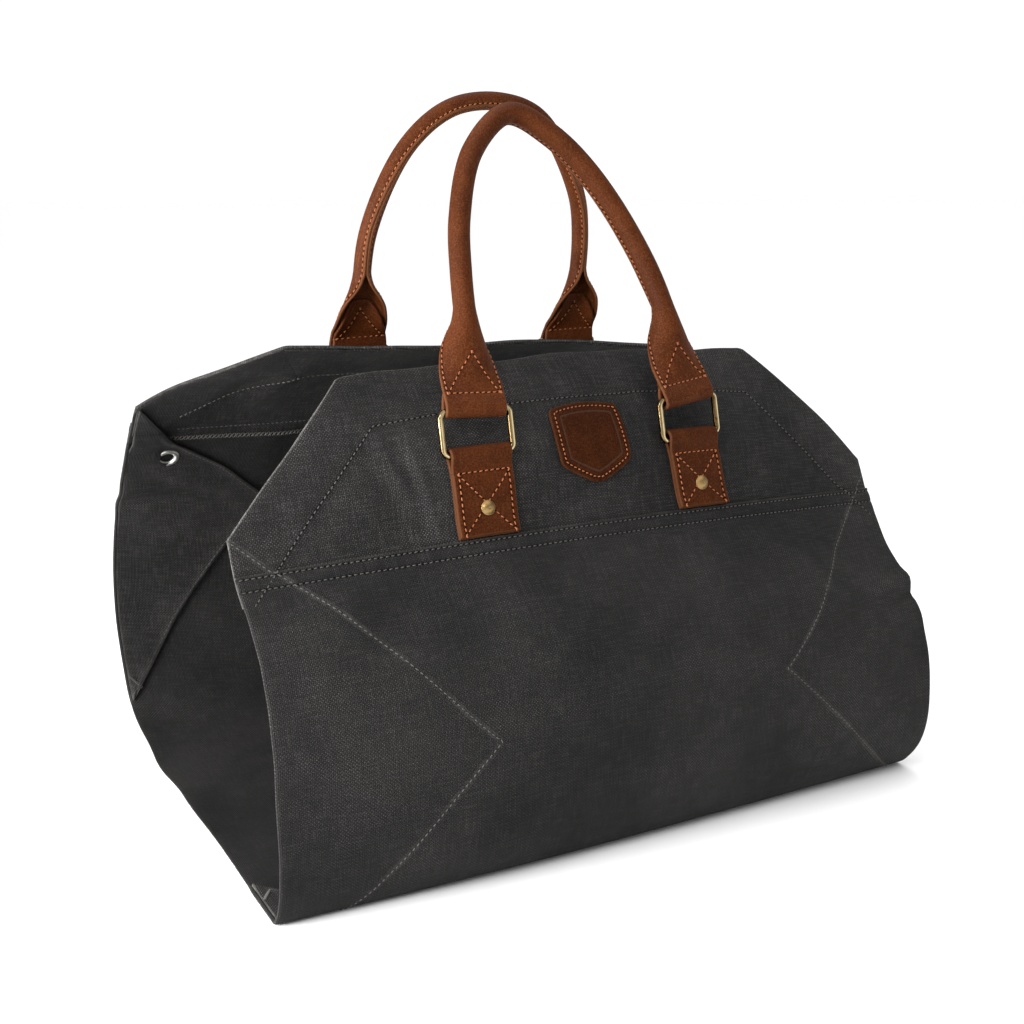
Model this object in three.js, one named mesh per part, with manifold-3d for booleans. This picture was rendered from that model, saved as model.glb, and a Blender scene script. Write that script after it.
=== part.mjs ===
// A firewood carrier: a waxed canvas sheet slung in a U, open at both ends, that stands on its flat base.
// Two trapezoid yokes carry leather tabs, brass rings and rolled leather handles.
// X runs along the carried wood, the front faces -Y, +Z is up, and Z = 0 is the floor. Sizes are in mm.

import * as THREE from 'three';
import { mergeVertices } from 'three/addons/utils/BufferGeometryUtils.js';
import Module from 'manifold-3d';

// Canvas
const SHEET_WIDTH = 457;
const HALF_WIDTH = SHEET_WIDTH / 2;
const CANVAS = 2;
const GAP = 0.3;
const END_EASE = 1.8;

// Yokes, measured up the cloth from the seam
const SHOULDER = 21;
const YOKE_TOP_BOW = 6;
const HEM = 32;
const HEM_ALONG_X = 44;
const HEM_LAYER = 1.4;
const HEM_STEP = 1.5;
const LAP_STATIONS = 1 / 3;
const YOKE_FACE = -(CANVAS + 2 * GAP);

// Turn-ins on the side edges
const FLAP_DROP = 276;
const FLAP_TIP = 7;
const FLAP_EDGE = 1;
const FLAP_CANVAS = 1.6;

// Leather and metal fittings
const LEATHER = 2.4;
const LEATHER_GAP = 0.85;
const TAB_WIDTH = 39;
const TAB_FOOT = 0.6;
const TAB_THICKNESS = 2 * LEATHER;
const TAB_WRAP = 0.62 * Math.PI;
const WIRE_RADIUS = 2;
const WIRE_CLEARANCE = 0.3;
const LOOP_RADIUS = WIRE_RADIUS + WIRE_CLEARANCE + LEATHER;
const RING_BAR_OUT = YOKE_FACE + LEATHER_GAP + LOOP_RADIUS;
const RING_SPAN = 25.5;
const RING_HALF_WIDTH = 22.3;
const RING_CORNER = 3;
const RIVET_CAP_RADIUS = 4.9;
const RIVET_STEM_RADIUS = 1.6;
const RIVET_DOME = 2.2;
const RIVET_DOME_RADIUS = 3.9;
const RIVET_DOME_EDGE = 1.4;
const RIVET_WASHER = 0.9;
const RIVET_WASHER_RADIUS = 4.3;
const EYELET_IN = 31;
const EYELET_DROP = 61;
const EYELET_RADIUS = 8.2;
const EYELET_HOLE = 4.8;
const EYELET_BARREL = 5.7;
const EYELET_FLANGE = 1.1;
const EYELET_BEVEL = 1;
const EYELET_SEAT = 1;
const PATCH_X = 2;
const PATCH_LOW = 23.5;
const PATCH_TOP = 74.5;
const HANDLE_LOOP_WIDTH = 39;

// Outer face of the cloth in a cross-section, from the front yoke's top edge under the base to the back's.
// Each row is a station: y and z at the left end, in the middle and at the right end.
const SECTION = [
  { at: 'front_top', left: [-69.7, 292.9], mid: [-64.5, 299.2], right: [-69.7, 292.9] },
  { at: 'front_yoke_high', left: [-86.3, 257.5], mid: [-94.7, 269.2], right: [-86.3, 257.5] },
  { at: 'front_yoke_low', left: [-101.1, 225.4], mid: [-117.1, 236], right: [-100, 225] },
  { at: 'front_seam', left: [-117.5, 189], mid: [-128.5, 196], right: [-115.5, 189] },
  { at: 'front_slope', left: [-141, 166.5], mid: [-158, 164], right: [-135, 156] },
  { at: 'front_breast', left: [-161, 142], mid: [-178, 130], right: [-162, 131] },
  { at: 'front_bulge', left: [-168, 112], mid: [-186, 98], right: [-181, 95] },
  { at: 'front_side', left: [-170, 75], mid: [-186.5, 66], right: [-186.3, 62] },
  { at: 'front_low', left: [-172, 40], mid: [-184.5, 36], right: [-185.3, 33] },
  { at: 'front_turn', left: [-167.5, 17], mid: [-177, 13], right: [-174, 11] },
  { at: 'front_heel', left: [-156, 0], mid: [-163, 0], right: [-161, 0] },
  { at: 'base_front', left: [-110, 0], mid: [-110, 0], right: [-110, 0] },
  { at: 'base_middle', left: [-40, 0], mid: [-40, 0], right: [-40, 0] },
  { at: 'base_back', left: [30, 0], mid: [30, 0], right: [30, 0] },
  { at: 'back_heel', left: [95, 1], mid: [100, 0], right: [95, 1] },
  { at: 'back_turn', left: [136, 7], mid: [140, 7], right: [136, 7] },
  { at: 'back_low', left: [158, 21], mid: [163, 24], right: [158, 21] },
  { at: 'back_side', left: [173, 46], mid: [179, 50], right: [173, 46] },
  { at: 'back_bulge', left: [184, 75], mid: [187, 82], right: [184, 75] },
  { at: 'back_breast', left: [185, 112], mid: [184, 116], right: [185, 112] },
  { at: 'back_slope', left: [171, 150], mid: [171, 158], right: [171, 150] },
  { at: 'back_rise', left: [143, 190], mid: [145, 200], right: [143, 190] },
  { at: 'back_seam', left: [98, 241], mid: [110, 242], right: [96, 238] },
  { at: 'back_yoke_low', left: [68.4, 267.9], mid: [75.2, 262], right: [66, 262] },
  { at: 'back_yoke_high', left: [33.2, 290], mid: [39.1, 279.2], right: [21.4, 268] },
  { at: 'back_top', left: [0.2, 313.3], mid: [-2.8, 295.5], right: [-17.7, 276.7] },
];

// A handle's form, by the distance from its ring bar along the strap.
const HANDLE_FORM = [
  { along: 0, width: 39, thickness: 6.5 },
  { along: 8, width: 39.4, thickness: 5.6 },
  { along: 18, width: 39.4, thickness: 5.4 },
  { along: 30, width: 36.5, thickness: 6 },
  { along: 40, width: 31, thickness: 7.5 },
  { along: 50, width: 24, thickness: 10 },
  { along: 58, width: 18, thickness: 12 },
  { along: 68, width: 15.5, thickness: 13 },
];

// Centre lines of the handles between their rings, from the left foot to the right one.
const FRONT_HANDLE_ROUTE = [
  { at: 'neck_left', x: -72.5, y: -90.5, z: 308 },
  { at: 'leg_left', x: -65, y: -65.5, z: 367 },
  { at: 'bend_left', x: -44.5, y: -45.8, z: 416 },
  { at: 'top', x: -15, y: -38, z: 438.2 },
  { at: 'bend_right', x: 23.5, y: -46.5, z: 415 },
  { at: 'leg_right', x: 57, y: -68, z: 361 },
  { at: 'neck_right', x: 70.3, y: -86, z: 319 },
];
const BACK_HANDLE_ROUTE = [
  { at: 'neck_left', x: -89, y: 30, z: 321 },
  { at: 'leg_left', x: -87.2, y: 19, z: 366 },
  { at: 'bend_left', x: -66, y: 7.5, z: 416.5 },
  { at: 'top', x: -12, y: 0.5, z: 447.3 },
  { at: 'bend_right', x: 47, y: 7, z: 420 },
  { at: 'leg_right', x: 73, y: 19, z: 366 },
  { at: 'neck_right', x: 75.5, y: 29, z: 324 },
];

// Half width of the shield patch, by its height from tip to top.
const PATCH_FORM = [
  { height: 0, half: 2.5 },
  { height: 0.05, half: 8.8 },
  { height: 0.15, half: 18 },
  { height: 0.26, half: 25 },
  { height: 0.4, half: 25.5 },
  { height: 0.56, half: 25.5 },
  { height: 0.78, half: 25.3 },
  { height: 0.95, half: 24.6 },
  { height: 1, half: 22.6 },
];

// The two sides: turn says which way along the section leads up the cloth from the seam, top and topHalf
// how high the yoke's top corners are and how far out, and tilt how far the rings lean out of its face in
// radians. A side has a left and a right tab: where it is along X at the seam, how far it leans along X
// for each mm up, and how high its ring's lower bar and its rivet are. A side has a left and a right
// turn-in: how far its edge reaches in from the end of the sheet at drops below the shoulder.
const stationOf = (name) => SECTION.findIndex((row) => row.at === name);
const SLACK_TURN_IN = [
  { drop: 0, reach: 0 },
  { drop: 26, reach: 19.5 },
  { drop: 50, reach: 34.5 },
  { drop: 83, reach: 72.5 },
  { drop: 127, reach: 113 },
  { drop: 276, reach: 0 },
];
const FRONT = {
  name: 'front',
  seam: stationOf('front_seam'),
  turn: -1,
  top: 109,
  topHalf: 149,
  tilt: 0.4,
  tabs: [{ x: -77, lean: 0, bar: 49, rivet: 17 }, { x: 78.7, lean: -0.09, bar: 46, rivet: 15.5 }],
  turnIns: [
    [{ drop: 0, reach: 0 }, { drop: 127, reach: 129 }, { drop: 276, reach: 0 }],
    [{ drop: 10, reach: 0 }, { drop: 87, reach: 80 }, { drop: 135, reach: 124.5 }, { drop: 252, reach: 0 }],
  ],
};
const BACK = {
  name: 'back',
  seam: stationOf('back_seam'),
  turn: 1,
  top: 114.5,
  topHalf: 152.5,
  tilt: 0.26,
  tabs: [{ x: -87.5, lean: 0, bar: 54, rivet: 17 }, { x: 77, lean: 0, bar: 54, rivet: 17 }],
  turnIns: [SLACK_TURN_IN, SLACK_TURN_IN],
};
const SIDES = [FRONT, BACK];
const ENDS = [{ name: 'left', sign: -1, index: 0 }, { name: 'right', sign: 1, index: 1 }];

const CANVAS_FINISH = { color: 0x3a3938, roughness: 0.85, metalness: 0 };
const LEATHER_FINISH = { color: 0x7a4526, roughness: 0.6, metalness: 0 };
const BRASS_FINISH = { color: 0xb08d4c, roughness: 0.35, metalness: 1 };
const NICKEL_FINISH = { color: 0x9a958c, roughness: 0.3, metalness: 1 };

const wasm = await Module();
wasm.setup();
const carrier = new THREE.Group();

// Cloth surface

const STEPS_PER_STATION = 10;
const sections = new Map();

function sectionAt(x) {
  if (!sections.has(x)) {
    const end = x < 0 ? 'left' : 'right';
    const share = Math.abs(x / HALF_WIDTH) ** END_EASE;
    const points = SECTION.map((row) => new THREE.Vector3(
      x,
      THREE.MathUtils.lerp(row.mid[0], row[end][0], share),
      THREE.MathUtils.lerp(row.mid[1], row[end][1], share),
    ));
    const curve = new THREE.CatmullRomCurve3(points);
    sections.set(x, { curve, lengths: curve.getLengths((SECTION.length - 1) * STEPS_PER_STATION) });
  }
  return sections.get(x);
}

function surface(x, station) {
  const point = sectionAt(x).curve.getPoint(station / (SECTION.length - 1));
  point.z = Math.max(point.z, 0);
  return point;
}

function outward(x, station) {
  const reach = 0.05;
  const before = surface(x, station - reach);
  const run = surface(x, station + reach).sub(before);
  return new THREE.Vector3(0, run.z, -run.y).normalize();
}

function cloth(x, station, out) {
  return surface(x, station).addScaledVector(outward(x, station), out);
}

function girthAt(x, station) {
  const { lengths } = sectionAt(x);
  const step = station * STEPS_PER_STATION;
  const low = Math.min(Math.floor(step), lengths.length - 2);
  return THREE.MathUtils.lerp(lengths[low], lengths[low + 1], step - low);
}

function stationUp(side, x, up) {
  const { lengths } = sectionAt(x);
  const girth = girthAt(x, side.seam) + side.turn * up;
  const high = lengths.findIndex((length) => length > girth);
  const share = (girth - lengths[high - 1]) / (lengths[high] - lengths[high - 1]);
  return (high - 1 + share) / STEPS_PER_STATION;
}

function onSide(side, x, up, out) {
  return cloth(x, stationUp(side, x, up), out);
}

function lerpTable(table, key, value, column) {
  const high = Math.max(1, table.findIndex((row) => row[key] >= value));
  const a = table[high - 1];
  const b = table[high];
  return THREE.MathUtils.mapLinear(value, a[key], b[key], a[column], b[column]);
}

// Closed meshes

const ROUND_SIDES = 12;
const SMALL_ROUND_SIDES = 8;
const DRILL_REACH = 30;
const MERGE = 1e-3;

function solid(points, triangles) {
  const geometry = new THREE.BufferGeometry();
  const places = points.flatMap((point) => point.toArray());
  geometry.setAttribute('position', new THREE.Float32BufferAttribute(places, 3));
  let volume = 0;
  for (const [a, b, c] of triangles) {
    volume += points[a].dot(points[b].clone().cross(points[c]));
  }
  geometry.setIndex(triangles.flatMap(([a, b, c]) => (volume > 0 ? [a, b, c] : [a, c, b])));
  return geometry;
}

function range(count) {
  return Array.from({ length: count }, (_, i) => i);
}

function quad(a, b, c, d) {
  return [[a, b, c], [a, c, d]];
}

// A wall between two grids of points, each a list of rows of equal length.
function wall(outer, inner) {
  const rows = outer.length;
  const columns = outer[0].length;
  const points = [...outer.flat(), ...inner.flat()];
  const triangles = [];
  const front = (r, c) => r * columns + c;
  const back = (r, c) => (rows + r) * columns + c;
  for (let r = 0; r + 1 < rows; r += 1) {
    for (let c = 0; c + 1 < columns; c += 1) {
      triangles.push(...quad(front(r, c), front(r, c + 1), front(r + 1, c + 1), front(r + 1, c)));
      triangles.push(...quad(back(r, c), back(r + 1, c), back(r + 1, c + 1), back(r, c + 1)));
    }
  }
  const rim = [
    ...range(columns - 1).map((c) => [0, c]),
    ...range(rows - 1).map((r) => [r, columns - 1]),
    ...range(columns - 1).map((c) => [rows - 1, columns - 1 - c]),
    ...range(rows - 1).map((r) => [rows - 1 - r, 0]),
  ];
  rim.forEach(([r, c], i) => {
    const [nextRow, nextColumn] = rim[(i + 1) % rim.length];
    triangles.push(...quad(back(r, c), back(nextRow, nextColumn), front(nextRow, nextColumn), front(r, c)));
  });
  return solid(points, triangles);
}

// A skin through rings of points: a closed loop of rings, or a bar with flat ends.
function loft(rings, closed) {
  const sides = rings[0].length;
  const points = rings.flat();
  const triangles = [];
  const spans = closed ? rings.length : rings.length - 1;
  for (let i = 0; i < spans; i += 1) {
    const a = i * sides;
    const b = ((i + 1) % rings.length) * sides;
    for (let k = 0; k < sides; k += 1) {
      const next = (k + 1) % sides;
      triangles.push(...quad(a + k, a + next, b + next, b + k));
    }
  }
  if (!closed) {
    const last = (rings.length - 1) * sides;
    for (let k = 1; k + 1 < sides; k += 1) {
      triangles.push([0, k + 1, k], [last, last + k, last + k + 1]);
    }
  }
  return solid(points, triangles);
}

// Moves every vertex of a shape and merges the ones that meet.
function reshape(geometry, move) {
  const bare = geometry.clone();
  bare.deleteAttribute('normal');
  bare.deleteAttribute('uv');
  const merged = mergeVertices(bare, MERGE);
  const position = merged.getAttribute('position');
  const points = range(position.count).map((i) => move(new THREE.Vector3().fromBufferAttribute(position, i)));
  const index = [...merged.getIndex().array];
  return solid(points, range(index.length / 3).map((i) => index.slice(3 * i, 3 * i + 3)));
}

function manifoldOf(geometry) {
  const vertProperties = new Float32Array(geometry.getAttribute('position').array);
  const triVerts = new Uint32Array(geometry.getIndex().array);
  return new wasm.Manifold(new wasm.Mesh({ numProp: 3, vertProperties, triVerts }));
}

function geometryOf(manifold) {
  const mesh = manifold.getMesh();
  const geometry = new THREE.BufferGeometry();
  geometry.setAttribute('position', new THREE.BufferAttribute(mesh.vertProperties, 3));
  geometry.setIndex(new THREE.BufferAttribute(mesh.triVerts, 1));
  return geometry;
}

function frameAt(origin, direction) {
  const turn = new THREE.Quaternion().setFromUnitVectors(new THREE.Vector3(0, 1, 0), direction);
  return new THREE.Matrix4().compose(origin, turn, new THREE.Vector3(1, 1, 1));
}

function pin(centre, direction, radius, length, sides) {
  const frame = frameAt(centre, direction);
  return reshape(new THREE.CylinderGeometry(radius, radius, length, sides), (p) => p.applyMatrix4(frame));
}

function drill(geometry, pins) {
  return geometryOf(pins.reduce((body, bit) => body.subtract(manifoldOf(bit)), manifoldOf(geometry)));
}

function add(name, geometry, finish) {
  const mesh = new THREE.Mesh(geometry, new THREE.MeshStandardMaterial(finish));
  mesh.name = name;
  carrier.add(mesh);
}

// Body panel

const PANEL_COLUMNS = 12;
const BASE_ROWS = [stationOf('front_heel'), stationOf('back_heel')];

// Rows between one station and the next: close at the seams, wide on the flat base.
function panelParts(station) {
  if (station === FRONT.seam || station === BACK.seam - 1) {
    return 3;
  }
  return station >= BASE_ROWS[0] && station < BASE_ROWS[1] ? 1 : 2;
}

function panelStations() {
  const stations = range(BACK.seam - FRONT.seam).flatMap((i) => {
    const station = FRONT.seam + i;
    const parts = panelParts(station);
    return range(parts).map((part) => station + part / parts);
  });
  return [...stations, BACK.seam];
}

function bodyPanel() {
  const columns = range(PANEL_COLUMNS + 1).map((i) => SHEET_WIDTH * (i / PANEL_COLUMNS - 0.5));
  const face = (out) => panelStations().map((station) => columns.map((x) => cloth(x, station, out)));
  return wall(face(0), face(-CANVAS));
}

// Yokes

const YOKE_ROWS = [
  { lap: LAP_STATIONS },
  { up: 0 },
  { up: SHOULDER / 3 },
  { up: SHOULDER * 2 / 3 },
  { up: SHOULDER },
  { up: 31 },
  { up: 42 },
  { up: 54 },
  { belowTop: HEM + HEM_STEP },
  { belowTop: HEM, hemmed: true },
  { belowTop: 0, hemmed: true },
];
const YOKE_SHARES = [-1, -2 / 3, -1 / 3, 0, 1 / 3, 2 / 3, 1];

function chamferHalf(side, up) {
  return HALF_WIDTH - (up - SHOULDER) * ((HALF_WIDTH - side.topHalf) / (side.top - SHOULDER));
}

function yokeTop(side, x) {
  return side.top + YOKE_TOP_BOW * (1 - (x / side.topHalf) ** 2);
}

function yokeGrid(side, inner) {
  return YOKE_ROWS.map((row) => {
    const level = row.lap ? 0 : row.up ?? side.top - row.belowTop;
    const edge = Math.min(HALF_WIDTH, chamferHalf(side, level));
    const hem = edge - HEM_ALONG_X - HEM_STEP;
    const columns = [
      { x: -edge, hemmed: true },
      { x: -hem - HEM_STEP, hemmed: true },
      ...YOKE_SHARES.map((share) => ({ x: share * hem })),
      { x: hem + HEM_STEP, hemmed: true },
      { x: edge, hemmed: true },
    ];
    return columns.map((column) => {
      const { x } = column;
      const doubled = row.hemmed || (column.hemmed && level >= SHOULDER);
      const depth = inner ? CANVAS + (doubled ? HEM_LAYER : 0) : 0;
      const up = row.belowTop === undefined ? level : yokeTop(side, x) - row.belowTop;
      const station = row.lap ? side.seam - side.turn * row.lap : stationUp(side, x, up);
      return cloth(x, station, YOKE_FACE - depth);
    });
  });
}

function tabCentre(side, end, up) {
  const { x, lean } = side.tabs[end.index];
  return x + lean * up;
}

function rivetAxis(side, end) {
  const up = side.tabs[end.index].rivet;
  const x = tabCentre(side, end, up);
  const station = stationUp(side, x, up);
  return { origin: cloth(x, station, YOKE_FACE), direction: outward(x, station) };
}

function rivetHole(side, end) {
  const { origin, direction } = rivetAxis(side, end);
  return pin(origin, direction, RIVET_STEM_RADIUS + GAP, DRILL_REACH, SMALL_ROUND_SIDES);
}

function yoke(side) {
  const bits = ENDS.map((end) => rivetHole(side, end));
  return drill(wall(yokeGrid(side, false), yokeGrid(side, true)), bits);
}

// Turn-ins and their eyelets

function flapWidth(side, end, drop) {
  const form = side.turnIns[end.index];
  const next = form.findIndex((row) => row.drop >= drop);
  if (next < 1) return FLAP_TIP;
  const [a, b] = [form[next - 1], form[next]];
  return Math.max(FLAP_TIP, THREE.MathUtils.mapLinear(drop, a.drop, b.drop, a.reach, b.reach));
}

// How far the turn-in lies inside the panel's outer face: behind the yoke's hem, then on the panel.
function flapDepth(side, station) {
  const behindYoke = CANVAS - YOKE_FACE + GAP + HEM_LAYER;
  const onPanel = CANVAS + 2 * GAP;
  const below = (station - side.seam) * -side.turn;
  const share = THREE.MathUtils.smoothstep(below, LAP_STATIONS, 2 * LAP_STATIONS);
  return THREE.MathUtils.lerp(behindYoke, onPanel, share);
}

function flapPoint(side, end, station, inFromEdge, depth) {
  const x = end.sign * (HALF_WIDTH - FLAP_EDGE - inFromEdge);
  return cloth(x, station, -flapDepth(side, station) - depth);
}

function flapStations(side, end) {
  const edge = end.sign * HALF_WIDTH;
  const shoulder = girthAt(edge, side.seam) + side.turn * SHOULDER;
  const drop = (station) => Math.abs(girthAt(edge, station) - shoulder);
  const turns = side.turnIns[end.index].slice(1, -1).map((row) => row.drop);
  const drops = [FLAP_CANVAS, SHOULDER / 2, ...turns, FLAP_DROP];
  const rows = drops.map((down) => stationUp(side, edge, SHOULDER - down));
  rows.push(...panelStations().filter((station) => drop(station) < FLAP_DROP));
  rows.sort((a, b) => drop(a) - drop(b));
  return rows.map((station) => ({ station, drop: drop(station) }));
}

const FLAP_COLUMNS = 5;
const EYELET_REACH = 0.2;

function eyeletAxis(side, end) {
  const station = stationUp(side, end.sign * HALF_WIDTH, SHOULDER - EYELET_DROP);
  const point = (inShift, stationShift) => (
    flapPoint(side, end, station + stationShift, EYELET_IN - FLAP_EDGE + inShift, 0)
  );
  const across = point(EYELET_RADIUS, 0).sub(point(-EYELET_RADIUS, 0));
  const along = point(0, EYELET_REACH).sub(point(0, -EYELET_REACH));
  const direction = across.cross(along).normalize();
  const inward = -Math.sign(direction.dot(outward(0, station)));
  return { origin: point(0, 0), direction: direction.multiplyScalar(inward) };
}

function flap(side, end) {
  const shares = range(FLAP_COLUMNS + 1).map((i) => i / FLAP_COLUMNS);
  const face = (depth) => flapStations(side, end).map(({ station, drop }) => (
    shares.map((share) => flapPoint(side, end, station, share * flapWidth(side, end, drop), depth))
  ));
  const { origin, direction } = eyeletAxis(side, end);
  const hole = pin(origin, direction, EYELET_BARREL + GAP, DRILL_REACH, ROUND_SIDES);
  return drill(wall(face(0), face(FLAP_CANVAS)), [hole]);
}

function turned(profile, sides, { origin, direction }) {
  const frame = frameAt(origin, direction);
  const points = profile.map(([radius, height]) => new THREE.Vector2(radius, height));
  return reshape(new THREE.LatheGeometry(points, sides), (p) => p.applyMatrix4(frame));
}

function eyelet(side, end) {
  const low = GAP;
  const face = FLAP_CANVAS + EYELET_SEAT;
  const top = face + EYELET_FLANGE;
  const profile = [
    [EYELET_HOLE, low],
    [EYELET_BARREL, low],
    [EYELET_BARREL, face],
    [EYELET_RADIUS, face],
    [EYELET_RADIUS - EYELET_BEVEL, top],
    [EYELET_HOLE, top],
    [EYELET_HOLE, low],
  ];
  return turned(profile, ROUND_SIDES, eyeletAxis(side, end));
}

// Tabs, rivets and rings

const TAB_STEP = 8;
const TAB_ARC_STEPS = 6;

function tabProfile(bar) {
  const low = YOKE_FACE + LEATHER_GAP;
  const high = low + TAB_THICKNESS;
  const profile = new THREE.Shape();
  profile.moveTo(TAB_FOOT, low);
  for (let up = TAB_FOOT + TAB_STEP; up < bar; up += TAB_STEP) {
    profile.lineTo(up, low);
  }
  profile.absarc(bar, RING_BAR_OUT, LOOP_RADIUS, -Math.PI / 2, TAB_WRAP, false);
  for (let up = bar - 3 * LOOP_RADIUS; up > TAB_FOOT; up -= TAB_STEP) {
    profile.lineTo(up, high);
  }
  profile.lineTo(TAB_FOOT, high);
  const eye = new THREE.Path();
  eye.absarc(bar, RING_BAR_OUT, WIRE_RADIUS + WIRE_CLEARANCE, 0, 2 * Math.PI, false);
  profile.holes.push(eye);
  return profile;
}

function tab(side, end) {
  const cut = { depth: TAB_WIDTH, bevelEnabled: false, curveSegments: TAB_ARC_STEPS };
  const strip = new THREE.ExtrudeGeometry(tabProfile(side.tabs[end.index].bar), cut);
  const laid = reshape(strip, ({ x: up, y: out, z }) => (
    onSide(side, tabCentre(side, end, up) - TAB_WIDTH / 2 + z, up, out)
  ));
  return drill(laid, [rivetHole(side, end)]);
}

function rivet(side, end) {
  const cap = LEATHER_GAP + TAB_THICKNESS + GAP;
  const washer = -(CANVAS + 2 * GAP);
  const profile = [
    [0, washer - RIVET_WASHER],
    [RIVET_WASHER_RADIUS, washer - RIVET_WASHER],
    [RIVET_WASHER_RADIUS, washer],
    [RIVET_STEM_RADIUS, washer],
    [RIVET_STEM_RADIUS, cap],
    [RIVET_CAP_RADIUS, cap],
    [RIVET_DOME_RADIUS, cap + RIVET_DOME_EDGE],
    [0, cap + RIVET_DOME],
  ];
  return turned(profile, ROUND_SIDES, rivetAxis(side, end));
}

// The centres of a ring's lower and upper bars, and the ways up and across its plane.
function ringFrame(side, end) {
  const barUp = side.tabs[end.index].bar;
  const x = tabCentre(side, end, barUp);
  const station = stationUp(side, x, barUp + RING_SPAN / 2);
  const normal = outward(x, station);
  const bar = (shift) => onSide(side, x + shift, barUp, RING_BAR_OUT);
  const across = bar(TAB_WIDTH / 2).sub(bar(-TAB_WIDTH / 2)).normalize();
  const along = normal.clone().cross(across).multiplyScalar(-side.turn).normalize();
  const up = along.multiplyScalar(Math.cos(side.tilt)).addScaledVector(normal, Math.sin(side.tilt));
  up.addScaledVector(across, -up.dot(across)).normalize();
  const lower = bar(0);
  return { lower, upper: lower.clone().addScaledVector(up, RING_SPAN), up, across };
}

function wireSection(centre, a, b) {
  return range(SMALL_ROUND_SIDES).map((i) => {
    const angle = (2 * Math.PI * (i + 0.5)) / SMALL_ROUND_SIDES;
    return centre.clone()
      .addScaledVector(a, WIRE_RADIUS * Math.cos(angle))
      .addScaledVector(b, WIRE_RADIUS * Math.sin(angle));
  });
}

const RING_CORNER_STEPS = 4;

function ring(side, end) {
  const { lower, up, across } = ringFrame(side, end);
  const normal = across.clone().cross(up);
  const centre = lower.clone().addScaledVector(up, RING_SPAN / 2);
  const rings = [];
  [[1, 1], [-1, 1], [-1, -1], [1, -1]].forEach(([signX, signUp], corner) => {
    for (let step = 0; step <= RING_CORNER_STEPS; step += 1) {
      const angle = (corner + step / RING_CORNER_STEPS) * (Math.PI / 2);
      const radial = across.clone().multiplyScalar(Math.cos(angle)).addScaledVector(up, Math.sin(angle));
      const point = centre.clone()
        .addScaledVector(across, signX * (RING_HALF_WIDTH - RING_CORNER))
        .addScaledVector(up, signUp * (RING_SPAN / 2 - RING_CORNER))
        .addScaledVector(radial, RING_CORNER);
      rings.push(wireSection(point, radial, normal));
    }
  });
  return loft(rings, true);
}

// Handles

const HANDLE_SIDES = 12;
const HANDLE_STEP = 15;
const FLATTEST = 0.4;

function handleStops(length) {
  const flare = HANDLE_FORM.map((row) => row.along);
  const rolled = flare.at(-1);
  const count = Math.round((length - 2 * rolled) / HANDLE_STEP);
  const step = (length - 2 * rolled) / count;
  const tube = range(count - 1).map((i) => rolled + (i + 1) * step);
  const far = flare.map((along) => length - along).reverse();
  return [...flare, ...tube, ...far];
}

// A strap section from a flat oblong to a round, its width across and its thickness along the normal.
function strapSection(centre, tangent, normal, width, thickness) {
  const out = normal.clone().addScaledVector(tangent, -normal.dot(tangent)).normalize();
  const across = tangent.clone().cross(out);
  const roundness = THREE.MathUtils.clamp(thickness / width, FLATTEST, 1);
  const swell = (value) => Math.sign(value) * Math.abs(value) ** roundness;
  return range(HANDLE_SIDES).map((i) => {
    const angle = (2 * Math.PI * i) / HANDLE_SIDES;
    return centre.clone()
      .addScaledVector(across, (width / 2) * swell(Math.cos(angle)))
      .addScaledVector(out, (thickness / 2) * swell(Math.sin(angle)));
  });
}

function handle(side, route) {
  const [left, right] = ENDS.map((end) => ringFrame(side, end));
  const stations = route.map(({ x, y, z }) => new THREE.Vector3(x, y, z));
  const line = new THREE.CatmullRomCurve3([left.upper, ...stations, right.upper]);
  const length = line.getLength();
  const middle = left.upper.clone().lerp(right.upper, 0.5);
  const rise = line.getPointAt(0.5).sub(middle);
  const normal = new THREE.Vector3(0, -rise.z, rise.y).normalize();
  const rings = handleStops(length).map((stop) => {
    const along = Math.min(stop, length - stop, HANDLE_FORM.at(-1).along);
    const width = lerpTable(HANDLE_FORM, 'along', along, 'width');
    const thickness = lerpTable(HANDLE_FORM, 'along', along, 'thickness');
    const share = stop / length;
    return strapSection(line.getPointAt(share), line.getTangentAt(share), normal, width, thickness);
  });
  const strap = manifoldOf(loft(rings, false));
  const bars = (radius, span) => [left, right].map(({ upper, across }) => (
    pin(upper, across, radius, span, ROUND_SIDES)
  ));
  const loops = bars(LOOP_RADIUS, HANDLE_LOOP_WIDTH);
  const eyes = bars(WIRE_RADIUS + WIRE_CLEARANCE, 2 * HANDLE_LOOP_WIDTH);
  const looped = loops.reduce((body, loop) => body.add(manifoldOf(loop)), strap);
  return drill(geometryOf(looped), eyes);
}

// Patch

const PATCH_SHARES = [-1, -0.5, 0, 0.5, 1];

function patch() {
  const face = (out) => PATCH_FORM.map(({ height, half }) => PATCH_SHARES.map((share) => (
    onSide(FRONT, PATCH_X + share * half, THREE.MathUtils.lerp(PATCH_LOW, PATCH_TOP, height), out)
  )));
  const low = YOKE_FACE + LEATHER_GAP;
  return wall(face(low + LEATHER), face(low));
}

// Assembly

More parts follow.
